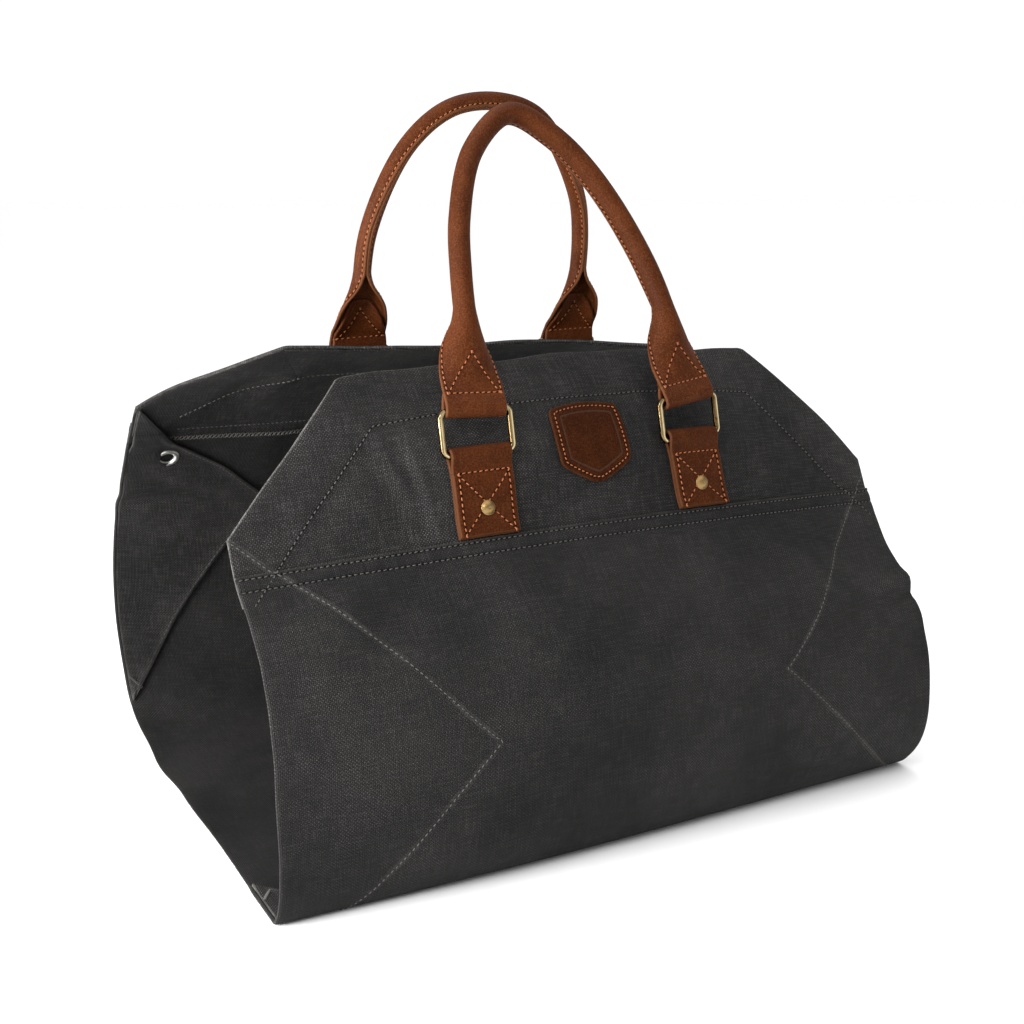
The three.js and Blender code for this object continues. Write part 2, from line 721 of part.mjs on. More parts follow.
add('body_panel', bodyPanel(), CANVAS_FINISH);
for (const side of SIDES) {
  add(`${side.name}_yoke`, yoke(side), CANVAS_FINISH);
  for (const end of ENDS) {
    const place = `${side.name}_${end.name}`;
    add(`flap_${place}`, flap(side, end), CANVAS_FINISH);
    add(`eyelet_${place}`, eyelet(side, end), NICKEL_FINISH);
    add(`tab_${place}`, tab(side, end), LEATHER_FINISH);
    add(`rivet_${place}`, rivet(side, end), BRASS_FINISH);
    add(`ring_${place}`, ring(side, end), BRASS_FINISH);
  }
}
add('handle_front', handle(FRONT, FRONT_HANDLE_ROUTE), LEATHER_FINISH);
add('handle_back', handle(BACK, BACK_HANDLE_ROUTE), LEATHER_FINISH);
add('patch', patch(), LEATHER_FINISH);

export default carrier;
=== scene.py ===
import math

import bpy
import numpy as np
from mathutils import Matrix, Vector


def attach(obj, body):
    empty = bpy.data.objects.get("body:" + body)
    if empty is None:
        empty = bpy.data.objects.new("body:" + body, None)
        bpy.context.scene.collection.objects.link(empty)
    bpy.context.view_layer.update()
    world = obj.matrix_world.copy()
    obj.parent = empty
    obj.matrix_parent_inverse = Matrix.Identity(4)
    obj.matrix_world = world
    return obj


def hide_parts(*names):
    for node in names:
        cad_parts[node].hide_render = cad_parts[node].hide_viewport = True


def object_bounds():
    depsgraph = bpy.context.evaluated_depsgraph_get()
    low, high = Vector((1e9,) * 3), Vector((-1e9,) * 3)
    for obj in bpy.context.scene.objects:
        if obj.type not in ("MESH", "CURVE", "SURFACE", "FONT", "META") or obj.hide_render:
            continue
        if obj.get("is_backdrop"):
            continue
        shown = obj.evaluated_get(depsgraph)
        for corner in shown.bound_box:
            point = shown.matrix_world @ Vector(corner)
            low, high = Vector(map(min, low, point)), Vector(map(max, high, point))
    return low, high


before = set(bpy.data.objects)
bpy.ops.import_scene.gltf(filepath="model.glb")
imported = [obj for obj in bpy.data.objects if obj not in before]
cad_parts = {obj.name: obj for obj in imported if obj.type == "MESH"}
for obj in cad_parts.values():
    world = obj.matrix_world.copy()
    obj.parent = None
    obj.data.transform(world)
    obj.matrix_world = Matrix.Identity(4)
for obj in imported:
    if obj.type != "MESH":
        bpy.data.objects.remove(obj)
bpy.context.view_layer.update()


# Body panel
# One sheet of waxed cotton duck, slung in a U and open at both ends.
# Its top edges are folded under and sewn over the yokes, and it lies on the floor along the base.
MM = 0.001
SHEET_HALF = 228.5 * MM
# How the sections pass from the middle to the ends: a power of the share of the way.
END_EASE = 1.8
# Thickness of the cloth, then thickness and depth of the doubled edge at a seam.
CANVAS = 1.4 * MM
SEAM_HEM = 2.2 * MM
SEAM_HEM_DEPTH = 16 * MM
# Height above the seam where the yokes begin to narrow.
SHOULDER = 21 * MM
SIDES = ("front", "back")
# The sewn V of each turned corner, left one first: drop below the shoulder and reach from the end, in mm.
V_FORM = {
    "front": (((0, 0), (127, 129), (276, 0)), ((10, 0), (87, 80), (135, 124.5), (252, 0))),
    "back": (((0, 0), (26, 18), (50, 33), (83, 71), (127, 111), (276, 0)),) * 2,
}
# Height of a turned corner, from the shoulder to its lower tip.
FLAP_DROP = 276 * MM
# Distance across a leg of the V for each mm along X, as the legs lie at about 45 degrees.
V_SLOPE = 0.71
# Sewn rows below each seam, in mm.
SEAM_ROWS = (2.3, 10.0)
# Girths that the form is worked out for, past the tops of both yokes.
GIRTH_START = -135 * MM
GIRTH_END = 960 * MM
# Stations of the cloth's outer face: y and z at the left end, the middle and the right end, in mm.
SECTION = (
    ("front_top", (-69.7, 292.9), (-64.5, 299.2), (-69.7, 292.9)),
    ("front_yoke_high", (-86.3, 257.5), (-94.7, 269.2), (-86.3, 257.5)),
    ("front_yoke_low", (-101.1, 225.4), (-117.1, 236), (-100, 225)),
    ("front_seam", (-117.5, 189), (-128.5, 196), (-115.5, 189)),
    ("front_slope", (-141, 166.5), (-158, 164), (-135, 156)),
    ("front_breast", (-161, 142), (-178, 130), (-162, 131)),
    ("front_bulge", (-168, 112), (-186, 98), (-181, 95)),
    ("front_side", (-170, 75), (-186.5, 66), (-186.3, 62)),
    ("front_low", (-172, 40), (-184.5, 36), (-185.3, 33)),
    ("front_turn", (-167.5, 17), (-177, 13), (-174, 11)),
    ("front_heel", (-156, 0), (-163, 0), (-161, 0)),
    ("base_front", (-110, 0), (-110, 0), (-110, 0)),
    ("base_middle", (-40, 0), (-40, 0), (-40, 0)),
    ("base_back", (30, 0), (30, 0), (30, 0)),
    ("back_heel", (95, 1), (100, 0), (95, 1)),
    ("back_turn", (136, 7), (140, 7), (136, 7)),
    ("back_low", (158, 21), (163, 24), (158, 21)),
    ("back_side", (173, 46), (179, 50), (173, 46)),
    ("back_bulge", (184, 75), (187, 82), (184, 75)),
    ("back_breast", (185, 112), (184, 116), (185, 112)),
    ("back_slope", (171, 150), (171, 158), (171, 150)),
    ("back_rise", (143, 190), (145, 200), (143, 190)),
    ("back_seam", (98, 241), (110, 242), (96, 238)),
    ("back_yoke_low", (68.4, 267.9), (75.2, 262), (66, 262)),
    ("back_yoke_high", (33.2, 290), (39.1, 279.2), (21.4, 268)),
    ("back_top", (0.2, 313.3), (-2.8, 295.5), (-17.7, 276.7)),
)


def smooth_run(points, steps):
    """Centripetal curves through rows of points, with an even number of steps in each gap."""
    before = 2 * points[:, :1] - points[:, 1:2]
    after = 2 * points[:, -1:] - points[:, -2:-1]
    p = np.concatenate([before, points, after], axis=1)
    root = np.sqrt(np.linalg.norm(np.diff(p, axis=1), axis=2, keepdims=True))
    a, b, c, d = p[:, :-3], p[:, 1:-2], p[:, 2:-1], p[:, 3:]
    u, v, w = root[:, :-2], root[:, 1:-1], root[:, 2:]
    leave = ((b - a) / u - (c - a) / (u + v) + (c - b) / v) * v
    arrive = ((c - b) / v - (d - b) / (v + w) + (d - c) / w) * v
    t = np.linspace(0, 1, steps, endpoint=False)[None, None, :, None]
    b, c, leave, arrive = (part[:, :, None] for part in (b, c, leave, arrive))
    run = ((2 * t**3 - 3 * t**2 + 1) * b + (t**3 - 2 * t**2 + t) * leave
           + (3 * t**2 - 2 * t**3) * c + (t**3 - t**2) * arrive)
    run = run.reshape(len(points), -1, points.shape[2])
    return np.concatenate([run, points[:, -1:]], axis=1)


def run_length(run):
    """Length along runs of points, from the first point to each."""
    steps = np.diff(run, axis=-2, prepend=run[..., :1, :])
    return np.cumsum(np.linalg.norm(steps, axis=-1), axis=-1)


def along_run(places, length, points):
    """Points at places along a run, from the length to each of its points."""
    return np.stack([np.interp(places, length, part) for part in points.T], axis=-1)


def unit(vector):
    """Directions of length one."""
    return vector / np.maximum(np.linalg.norm(vector, axis=-1, keepdims=True), 1e-9)


def trace_cloth():
    """The cloth's outer face, its stations and its outward direction on a grid of x and girth."""
    columns = np.linspace(-SHEET_HALF, SHEET_HALF, 115)
    girths = np.arange(GIRTH_START, GIRTH_END, MM)
    left, middle, right = (np.array([row[k] for row in SECTION]) * MM for k in (1, 2, 3))
    share = np.abs(columns / SHEET_HALF)[:, None, None] ** END_EASE
    ends = np.where(columns[:, None, None] < 0, left, right)
    steps = 24
    run = smooth_run(middle + (ends - middle) * share, steps)
    run[:, :, 1] = np.maximum(run[:, :, 1], 0)
    length = run_length(run)
    names = [row[0] for row in SECTION]
    past = length - length[:, [names.index("front_seam") * steps]]
    stations = np.arange(past.shape[1], dtype=float)
    form = np.stack([
        along_run(girths, lengths, np.column_stack([points, stations]))
        for lengths, points in zip(past, run)
    ])
    slope = np.gradient(form, axis=1)
    away = unit(np.stack([slope[:, :, 1], -slope[:, :, 0]], axis=2))
    return columns, np.concatenate([form, away], axis=2), past, past[:, names.index("back_seam") * steps]


CLOTH_X, CLOTH_FORM, CLOTH_PAST, CLOTH_SPAN = trace_cloth()


def blend(table, i, k):
    """Values of a table of columns and steps at places between its entries."""
    i, k = np.clip(i, 0, len(table) - 1.0001), np.clip(k, 0, table.shape[1] - 1.0001)
    i0, k0 = i.astype(int), k.astype(int)
    p, q = (i - i0)[..., None], (k - k0)[..., None]
    near = table[i0, k0] * (1 - q) + table[i0, k0 + 1] * q
    far = table[i0 + 1, k0] * (1 - q) + table[i0 + 1, k0 + 1] * q
    return near * (1 - p) + far * p


def column_at(x):
    """Place of x among the columns that the form is worked out for."""
    return (x - CLOTH_X[0]) / (CLOTH_X[1] - CLOTH_X[0])


def cloth_form(x, girth):
    """Y, z, station and outward direction of the cloth's plain form."""
    return blend(CLOTH_FORM, column_at(x), (girth - GIRTH_START) / MM)


def span(x):
    """Girth between the two seams."""
    return np.interp(x, CLOTH_X, CLOTH_SPAN)


def smoothstep(low, high, value):
    """Zero at low, one at high, smooth between."""
    t = np.clip((value - low) / (high - low), 0, 1)
    return t * t * (3 - 2 * t)


# Soft folds: x and up at both ends, width and height, in mm; up is measured from the seam.
FRONT_FOLDS = {
    "left_tab_crease": ((-118, 62), (-107, 1), 3.8, 1.8),
    "left_tab_furrow": ((-124, 64), (-112, 6), 4.5, -1.4),
    "left_tab_pinch": ((-134, 56), (-115, 20), 3.6, 1.5),
    "left_chamfer_furrow": ((-146, 72), (-128, 10), 6, -1.3),
    "between_tab_and_patch": ((-48, 70), (-42, 6), 8, -0.9),
    "right_of_patch": ((44, 86), (52, 14), 9, 1.1),
    "right_of_right_tab": ((112, 80), (128, 2), 8, 1.3),
    "right_chamfer": ((150, 60), (186, 8), 10, -1.5),
    "left_chamfer": ((-150, 60), (-186, 10), 10, -1.2),
    "notch_ridge": ((279, -64), (185, -76), 6, 3.2),
    "notch_valley": ((274, -74), (190, -88), 4, -2.5),
    "notch_foot": ((274, -92), (180, -102), 8, 1.4),
    "right_slope": ((150, -14), (196, -58), 13, -2.2),
    "right_draw": ((90, -12), (150, -70), 15, 1.8),
    "middle_draw": ((30, -14), (66, -90), 16, -1.7),
    "left_draw": ((-60, -14), (-88, -96), 16, 1.7),
    "left_slope": ((-128, -12), (-170, -60), 14, -1.8),
    "left_edge_dent": ((-232, -64), (-196, -76), 9, -2.4),
    "left_edge_swell": ((-232, -106), (-190, -118), 12, 2.0),
    "breast_long": ((-40, -110), (70, -126), 18, 1.5),
    "low_right": ((110, -190), (226, -176), 14, -1.8),
    "low_left": ((-226, -176), (-140, -196), 12, -1.6),
}
BACK_FOLDS = {
    "left_dent": ((-150, 62), (-176, 18), 9, 2.4),
    "left_swell": ((-128, 84), (-140, 22), 8, -1.8),
    "middle_dent": ((-20, 88), (-8, 16), 14, 1.8),
    "right_dent": ((120, 82), (150, 22), 12, 2.0),
    "end_step_in": ((-276, -78), (-180, -70), 6, -1.9),
    "end_step_out": ((-276, -97), (-170, -86), 7, 2.6),
    "end_crease": ((-205, -20), (-190, -52), 6, 1.4),
    "right_end_step": ((232, -70), (160, -58), 8, 2.4),
    "slope_left": ((-110, -14), (-140, -90), 15, -1.6),
    "slope_middle": ((10, -14), (-6, -100), 17, 1.7),
    "slope_right": ((96, -14), (130, -96), 15, -1.6),
    "low_left": ((-228, -190), (-150, -206), 14, 1.8),
}
# Stiff pieces sewn on hold the cloth flat: x and up of the middle, and half sizes, in mm.
FRONT_STIFF = ((-77, 26, 22, 28), (77, 26, 22, 28), (2, 49, 27, 27))
BACK_STIFF = ((-88, 26, 22, 28), (72, 26, 22, 28))
# Slow waves of the whole cloth: height in mm, run along x and along up in metres for one radian, and phase.
SWAYS = (
    (0.8, 0.061, 0.083, 0.4),
    (0.6, 0.037, -0.101, 2.1),
    (0.45, 0.023, 0.047, 4.0),
    (0.25, 0.013, -0.019, 1.0),
)
# The folds die out below this height above the floor, and the waves between these depths below a seam.
FLAT_HEIGHT = 35 * MM
SWAY_END = -300 * MM
SWAY_FULL = -240 * MM


def relief(x, girth):
    """How far the folds lift the cloth off its plain form."""
    total = np.zeros(np.broadcast(x, girth).shape)
    for folds, stiff, up in (
        (FRONT_FOLDS, FRONT_STIFF, -girth),
        (BACK_FOLDS, BACK_STIFF, girth - span(x)),
    ):
        lift = np.zeros_like(total)
        for (x0, up0), (x1, up1), width, height in folds.values():
            dx, dup = (x1 - x0) * MM, (up1 - up0) * MM
            px, pup = x - x0 * MM, up - up0 * MM
            along = np.clip((px * dx + pup * dup) / (dx * dx + dup * dup), 0, 1)
            away = np.hypot(px - along * dx, pup - along * dup) / (width * MM)
            lift += height * MM * np.exp(-away * away) * np.sin(np.pi * (0.12 + 0.76 * along))
        sway = sum(high * np.sin(x / run_x + up / run_up + phase) for high, run_x, run_up, phase in SWAYS)
        lift += sway * MM * smoothstep(SWAY_END, SWAY_FULL, up) * (0.55 + 0.45 * smoothstep(0.0, -0.03, up))
        for mx, mup, half_x, half_up in stiff:
            gap = np.maximum(np.abs(x - mx * MM) - half_x * MM, np.abs(up - mup * MM) - half_up * MM)
            lift *= smoothstep(-0.001, 0.018, gap)
        lift *= 0.25 + 0.75 * smoothstep(0.0, 0.012, np.abs(up + 0.008) - 0.008)
        total += lift
    return total


def lay(x, girth, out, folds=True):
    """Points on the cloth: x along the bag, girth past the front seam, out from the outer face."""
    x, girth, out = np.broadcast_arrays(np.asarray(x, float), np.asarray(girth, float), out)
    form = cloth_form(x, girth)
    rise = out
    if folds:
        rise = out + relief(x, girth) * smoothstep(0.0, FLAT_HEIGHT, form[..., 1])
    y = form[..., 0] + form[..., 3] * rise
    z = form[..., 1] + form[..., 4] * rise
    return np.stack([x, y, np.maximum(z, 0)], axis=-1)


def girth_at(side, x, up):
    """Girth of a place that is up from the seam of one side."""
    return -np.asarray(up) if side == "front" else span(x) + up


def up_at(side, x, girth):
    """How far up from the seam of one side a girth lies."""
    return -np.asarray(girth) if side == "front" else girth - span(x)


def sheet_end(x):
    """X of the nearer end of the sheet."""
    return np.where(np.asarray(x) < 0, -SHEET_HALF, SHEET_HALF)


def corner_girth(side, x, drop):
    """Girth at x of the station that lies a drop below the shoulder at the nearer end."""
    x, drop = np.broadcast_arrays(np.asarray(x, float), np.asarray(drop, float))
    girth = girth_at(side, sheet_end(x), SHOULDER - drop)
    stations = np.arange(CLOTH_PAST.shape[1])
    left, right = (np.interp(girth, CLOTH_PAST[k], stations) for k in (0, -1))
    return blend(CLOTH_PAST[:, :, None], column_at(x), np.where(x < 0, left, right))[..., 0]


def v_width(side, end, drop):
    """How far the sewn V of a turned corner reaches in from the sheet's end, below zero past its tips."""
    drops, reach = np.array(V_FORM[side][end]).T * MM
    past = np.maximum(drops[0] - drop, 0) + np.maximum(drop - drops[-1], 0)
    return np.interp(drop, drops, reach) - past


def v_gap(side, x, girth):
    """Distance from the sewn V of the nearer corner, negative inside it."""
    station = cloth_form(x, girth)[..., 2]
    stations = np.arange(CLOTH_PAST.shape[1])
    left, right = (np.interp(station, stations, CLOTH_PAST[k]) for k in (0, -1))
    end = sheet_end(x)
    drop = SHOULDER - up_at(side, end, np.where(x < 0, left, right))
    width = np.where(x < 0, v_width(side, 0, drop), v_width(side, 1, drop))
    return (SHEET_HALF - np.abs(x) - width) * V_SLOPE


# Distances from lines are stored moved by this much, so that a missing value, zero, lies far off.
LINE_SHIFT = 50


def line(distance):
    """Signed distance from a line in mm, as a mesh carries it."""
    return np.clip(distance / MM, 1 - LINE_SHIFT, LINE_SHIFT - 1) + LINE_SHIFT


def edged(length, step, rim):
    """Even places along a length, closer together inside the rounded rim at both ends."""
    rim_steps = rim * np.array([0, 0.08, 0.3, 0.62])
    middle = np.linspace(rim, length - rim, max(2, round((length - 2 * rim) / step) + 1))
    return np.concatenate([rim_steps, middle, length - rim_steps[::-1]])


def round_rim(half, border):
    """Half thickness that closes in a half round at the border."""
    reach = np.clip(border / half, 0, 1)
    return half * np.sqrt(1 - (1 - reach) ** 2)


def facing_out(points, faces):
    """Four-sided faces of a closed form, turned to point outwards."""
    a, b, c, d = (points[faces[:, k]] for k in range(4))
    volume = np.einsum("ij,ij->", a, np.cross(b, c) + np.cross(c, d))
    return faces[:, ::-1] if volume < 0 else faces


def shell(outer, inner, uv, values):
    """Vertices, faces, map and values of two grids that share their border."""
    rows, columns = outer.shape[:2]
    index = np.arange(rows * columns).reshape(rows, columns)
    under = index.copy()
    under[1:-1, 1:-1] = rows * columns + np.arange((rows - 2) * (columns - 2)).reshape(rows - 2, -1)

    def join(whole, core):
        wide = whole[0, 0].size
        return np.concatenate([whole.reshape(-1, wide), core[1:-1, 1:-1].reshape(-1, wide)])

    def quads(ids):
        return np.stack([ids[:-1, :-1], ids[1:, :-1], ids[1:, 1:], ids[:-1, 1:]], axis=-1).reshape(-1, 4)

    points = join(outer, inner)
    faces = facing_out(points, np.concatenate([quads(index), quads(under)[:, ::-1]]))
    return points, faces, join(uv, uv), {name: join(grid, grid)[:, 0] for name, grid in values.items()}


def mesh_of(name, shells):
    """One smooth mesh from shells, with their map in metres and their values by name."""
    start, points, faces, maps, values = 0, [], [], [], {}
    for part_points, part_faces, part_uv, part_values in shells:
        points.append(part_points)
        faces.append(part_faces + start)
        maps.append(part_uv)
        for key, value in part_values.items():
            values.setdefault(key, []).append(value)
        start += len(part_points)
    mesh = bpy.data.meshes.new(name)
    mesh.from_pydata(np.concatenate(points).tolist(), [], np.concatenate(faces).tolist())
    corner = np.empty(len(mesh.loops), dtype=np.int32)
    mesh.loops.foreach_get("vertex_index", corner)
    flat = mesh.uv_layers.new(name="flat")
    flat.uv.foreach_set("vector", np.concatenate(maps)[corner].astype(np.float32).ravel())
    for key, value in values.items():
        layer = mesh.attributes.new(key, "FLOAT", "POINT")
        layer.data.foreach_set("value", np.concatenate(value).astype(np.float32))
    mesh.shade_smooth()
    return mesh


def piece(name, mesh, material, node):
    """An object of the model that rides on the body and stands for a CAD node."""
    thing = bpy.data.objects.new(name, mesh)
    bpy.context.scene.collection.objects.link(thing)
    mesh.materials.append(material)
    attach(thing, "root")
    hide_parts(node)
    return thing


class Shade:
    """A socket of a material's tree; operators on it add Math nodes."""

    def __init__(self, tree, socket=None):
        self.tree = tree
        self.socket = socket

    def node(self, kind, settings, inputs, output=0):
        """One output of a new node with these settings and inputs."""
        made = self.tree.nodes.new(kind)
        for key, value in settings.items():
            setattr(made, key, value)
        for key, value in inputs.items():
            if isinstance(value, Shade):
                self.tree.links.new(value.socket, made.inputs[key])
            else:
                made.inputs[key].default_value = value
        return Shade(self.tree, made.outputs[output])

    def math(self, operation, *others):
        """A Math node on this value and others."""
        return self.node("ShaderNodeMath", {"operation": operation}, dict(enumerate((self, *others))))

    def __add__(self, other):
        return self.math("ADD", other)

    __radd__ = __add__

    def __mul__(self, other):
        return self.math("MULTIPLY", other)

    __rmul__ = __mul__

    def __sub__(self, other):
        return self.math("SUBTRACT", other)

    def __rsub__(self, other):
        return (self * -1).math("ADD", other)

    def ramp(self, low, high):
        """Zero below low, one above high, smooth between."""
        return self.node("ShaderNodeMapRange", {"interpolation_type": "SMOOTHSTEP"},
                         {"Value": self, "From Min": low, "From Max": high})

    def noise(self, scale, detail=3.0, rough=0.5):
        """Noise read at this vector."""
        inputs = {"Vector": self, "Scale": scale, "Detail": detail, "Roughness": rough}
        return self.node("ShaderNodeTexNoise", {}, inputs)

    def stretch(self, x, y, z):
        """This vector scaled along each axis."""
        return self.node("ShaderNodeVectorMath", {"operation": "MULTIPLY"}, {0: self, 1: (x, y, z)})


def mix(factor, a, b, way="MIX"):
    """Two colours mixed by a factor."""
    source = next(part for part in (factor, a, b) if isinstance(part, Shade))
    a, b = (part if isinstance(part, Shade) else (*part, 1) for part in (a, b))
    settings = {"data_type": "RGBA", "blend_type": way}
    return source.node("ShaderNodeMix", settings, {0: factor, 6: a, 7: b}, 2)


def new_material(name):
    """A material with its surface shader and its Object coordinates."""
    material = bpy.data.materials.new(name)
    material.use_nodes = True
    solid = Shade(material.node_tree).node("ShaderNodeTexCoord", {}, {}, 3)
    return material, material.node_tree.nodes["Principled BSDF"], solid


def surface(shader, colour, roughness, height, depth, strength):
    """Links colour, roughness and a bump to the surface shader."""
    bump = height.node("ShaderNodeBump", {}, {"Strength": strength, "Distance": depth, "Height": height})
    for name, value in (("Base Color", colour), ("Roughness", roughness), ("Normal", bump)):
        value.tree.links.new(value.socket, shader.inputs[name])


def attribute(start, name):
    """A value that the mesh carries at its points."""
    return start.node("ShaderNodeAttribute", {"attribute_name": name}, {}, 2)


def from_line(start, name):
    """Distance in mm from a line that the mesh carries."""
    return (attribute(start, name) - LINE_SHIFT).math("ABSOLUTE")


def canvas_material(name, wear_and_light, tone):
    """Waxed duck: a plain weave of dark yarns, cloudy with wax and pale where edges and seams are rubbed,
    with a painted highlight on the yarn crowns and painted shade between the yarns, in the sewn grooves and
    along creases.
    """
    yarn = 1.05 * MM
    material, shader, solid = new_material(name)
    flat = solid.node("ShaderNodeUVMap", {"uv_map": "flat"}, {})
    rim, sewn_v, hem, crease = (from_line(solid, name) for name in ("rim", "v_line", "hem", "crease"))
    seam = attribute(solid, "seam") - LINE_SHIFT
    crest = attribute(solid, "crest")
    wobble = flat.noise(380.0, 2.0) - 0.5
    u, v = (flat.node("ShaderNodeSeparateXYZ", {}, {0: flat}, k) + wobble * (0.45 * MM) for k in (0, 1))
    across = (u * (math.pi / yarn)).math("SINE")
    along = (v * (math.pi / yarn)).math("SINE")
    over = across * along
    crown = over.ramp(0.10, 0.90)
    valley = across.math("ABSOLUTE").math("MINIMUM", along.math("ABSOLUTE")).ramp(0.0, 0.45)
    slub_u = flat.stretch(70, 950, 1).noise(1.0, 2.0)
    slub_v = flat.stretch(950, 70, 1).noise(1.0, 2.0)
    clouds = solid.noise(8.0, 4.0, 0.6)
    rubs = solid.stretch(1, 1, 1.6).noise(24.0, 5.0, 0.68)
    specks = flat.noise(640.0, 2.0).ramp(0.48, 0.70)
    frayed = solid.noise(520.0, 3.0, 0.6).ramp(0.34, 0.62)
    dry = clouds.ramp(0.40, 0.66) * 0.5 + rubs.ramp(0.46, 0.72) * 0.5 + crest.ramp(0.9, 2.4) * 0.6
    dry = dry + rim.ramp(6.5, 1.0) * 0.3
    # The yarn crowns are paler: partly rubbed dry wax, partly a painted highlight.
    pale = crown * (0.30 + 0.65 * dry) * (0.60 + 0.75 * specks) + (slub_u + slub_v - 1) * 0.7
    dark = mix(clouds, (0.0115, 0.0111, 0.0112), (0.0195, 0.0181, 0.0174))
    # Both factors lift the yoke duck above the panel's: partly more wear, partly painted light for the faces
    # in shade inside the bag.
    rubbed = [[wear_and_light * part for part in colour] for colour in ((0.064, 0.062, 0.060), (0.100, 0.095, 0.091))]
    light = mix(rubs, *rubbed)
    colour = mix(pale.math("MAXIMUM", 0.0).math("MINIMUM", 1.0), dark, light)
    # Painted shade in the gaps between the yarns.
    colour = mix((1 - valley) * 0.55, colour, (0.0055, 0.0052, 0.0052))
    colour = mix(1.0, colour, 0.74 * tone + 0.36 * tone * clouds.ramp(0.34, 0.66), "MULTIPLY")
    chafed = sewn_v.ramp(2.6, 0.8) * (0.30 + 0.70 * rubs.ramp(0.42, 0.60)) + hem.ramp(1.8, 0.5) * 0.15
    chafed = chafed + seam.ramp(2.2, 0.4) * seam.ramp(-1.0, 0.2) * (0.25 + 0.5 * rubs.ramp(0.42, 0.60))
    colour = mix(chafed * (0.35 + 0.65 * frayed) * 0.55, colour, (0.075, 0.071, 0.067))
    colour = mix(rim.ramp(1.0, 0.3) * (0.25 + 0.6 * frayed), colour, (0.120, 0.114, 0.108))
    # Painted shade along the creases: the mitres of the turned strips, the step on each turn-in and its sewn
    # edge.
    colour = mix(crease.ramp(1.0, 0.3) * 0.75, colour, (0.006, 0.0056, 0.0055))
    # Painted shade in the grooves of the seam rows, the V and the hem, which the bump also presses in.
    high_row, low_row = ((seam - row).math("ABSOLUTE").ramp(1.3, 0.3) for row in SEAM_ROWS)
    dents = high_row + low_row + sewn_v.ramp(1.0, 0.2) * 0.5 + hem.ramp(1.4, 0.2) * 0.8
    colour = mix(dents.math("MINIMUM", 1.0) * 0.55, colour, (0.0075, 0.0070, 0.0068))
    roughness = 0.90 - 0.20 * clouds
    height = over.math("ABSOLUTE") * 1.1 + crown * 0.5 + (slub_u + slub_v) * 0.6 + rubs * 2.0 - dents * 1.8
    surface(shader, colour, roughness, height, 0.24 * MM, 1.0)
    shader.inputs["Specular IOR Level"].default_value = 0.14
    return material


canvas = canvas_material("waxed_canvas", 0.96, 0.92)


def turned_edge(up):
    """How much the end of the sheet is a fold at this height, from the shoulder to the foot of the V."""
    foot = SHOULDER - FLAP_DROP
    return smoothstep(SHOULDER + 0.004, SHOULDER - 0.004, up) * smoothstep(foot - 0.006, foot + 0.01, up)


def ridge(distance, place, width):
    """A soft ridge along a line, one high."""
    return np.exp(-(((distance - place) / width) ** 2))


FOLD_THICK = 2.9 * MM
# Middle between the two sewn rows of a seam, where the doubled edge stands up.
SEAM_MIDDLE = 6.2 * MM
mean_span = float(CLOTH_SPAN.mean())
panel_x = edged(2 * SHEET_HALF, 3.1 * MM, 1.2 * MM) - SHEET_HALF
seam_zone = edged(2 * SEAM_HEM_DEPTH, 1.1 * MM, 1.1 * MM)
seam_zone = seam_zone[:len(seam_zone) // 2]
panel_middle = np.linspace(SEAM_HEM_DEPTH, mean_span - SEAM_HEM_DEPTH, 238)
panel_rows = np.concatenate([seam_zone, panel_middle, mean_span - seam_zone[::-1]])
grid_x = np.broadcast_to(panel_x, (len(panel_rows), len(panel_x)))
grid_girth = panel_rows[:, None] / mean_span * span(panel_x)
from_side = SHEET_HALF - np.abs(grid_x)
from_seam = np.minimum(grid_girth, span(panel_x) - grid_girth)
fold = turned_edge(-from_seam)
thick = CANVAS + (SEAM_HEM - CANVAS) * smoothstep(SEAM_HEM_DEPTH + 0.002, SEAM_HEM_DEPTH - 0.002, from_seam)
thick = thick + (FOLD_THICK - thick) * fold * smoothstep(4.5 * MM, 2.0 * MM, from_side)
half = round_rim(thick / 2, np.minimum(from_side, from_seam))
pucker = 0.3 * np.sin(grid_x / 0.0017 + 2.5 * np.sin(grid_x / 0.031))
sewn = 0.35 * ridge(from_seam, SEAM_MIDDLE, 2.4 * MM) + pucker * ridge(from_seam, SEAM_MIDDLE, 5 * MM)
for row in SEAM_ROWS:
    sewn = sewn - 0.5 * ridge(from_seam, row * MM, 0.9 * MM)
on_base = (1 - fold) * smoothstep(0.20, 0.26, from_seam)
swing = np.sin(grid_girth / 0.019 + 2 * np.sin(grid_girth / 0.071))
wander = 0.9 * MM * (1 + swing) * on_base * smoothstep(0.05, 0.0, from_side)
lift = 1.3 * MM * (1 + np.sin(grid_girth / 0.027 + 1)) * on_base * smoothstep(0.03, 0.0, from_side) ** 2
ripple = 0.4 * MM * np.sin(grid_girth / 0.021 + 1.3 * np.sin(grid_girth / 0.057))
middle_face = ripple * smoothstep(0.02, 0.0, from_side) - lift - thick / 2
laid_x = grid_x - np.sign(grid_x) * wander
panel_v = [v_gap(side, grid_x, grid_girth) for side in SIDES]
panel_shell = shell(
    lay(laid_x, grid_girth, middle_face + half + sewn * MM),
    lay(laid_x, grid_girth, middle_face - half),
    np.stack([grid_x, grid_girth], axis=2),
    {
        "rim": line(from_side + 0.75 * MM),
        "seam": line(from_seam),
        "crest": relief(grid_x, grid_girth) / MM,
        "v_line": line(np.where(grid_girth < span(panel_x) / 2, *panel_v)),
    },
)
body_cloth = piece("body_cloth", mesh_of("body_cloth", [panel_shell]), canvas, "body_panel")


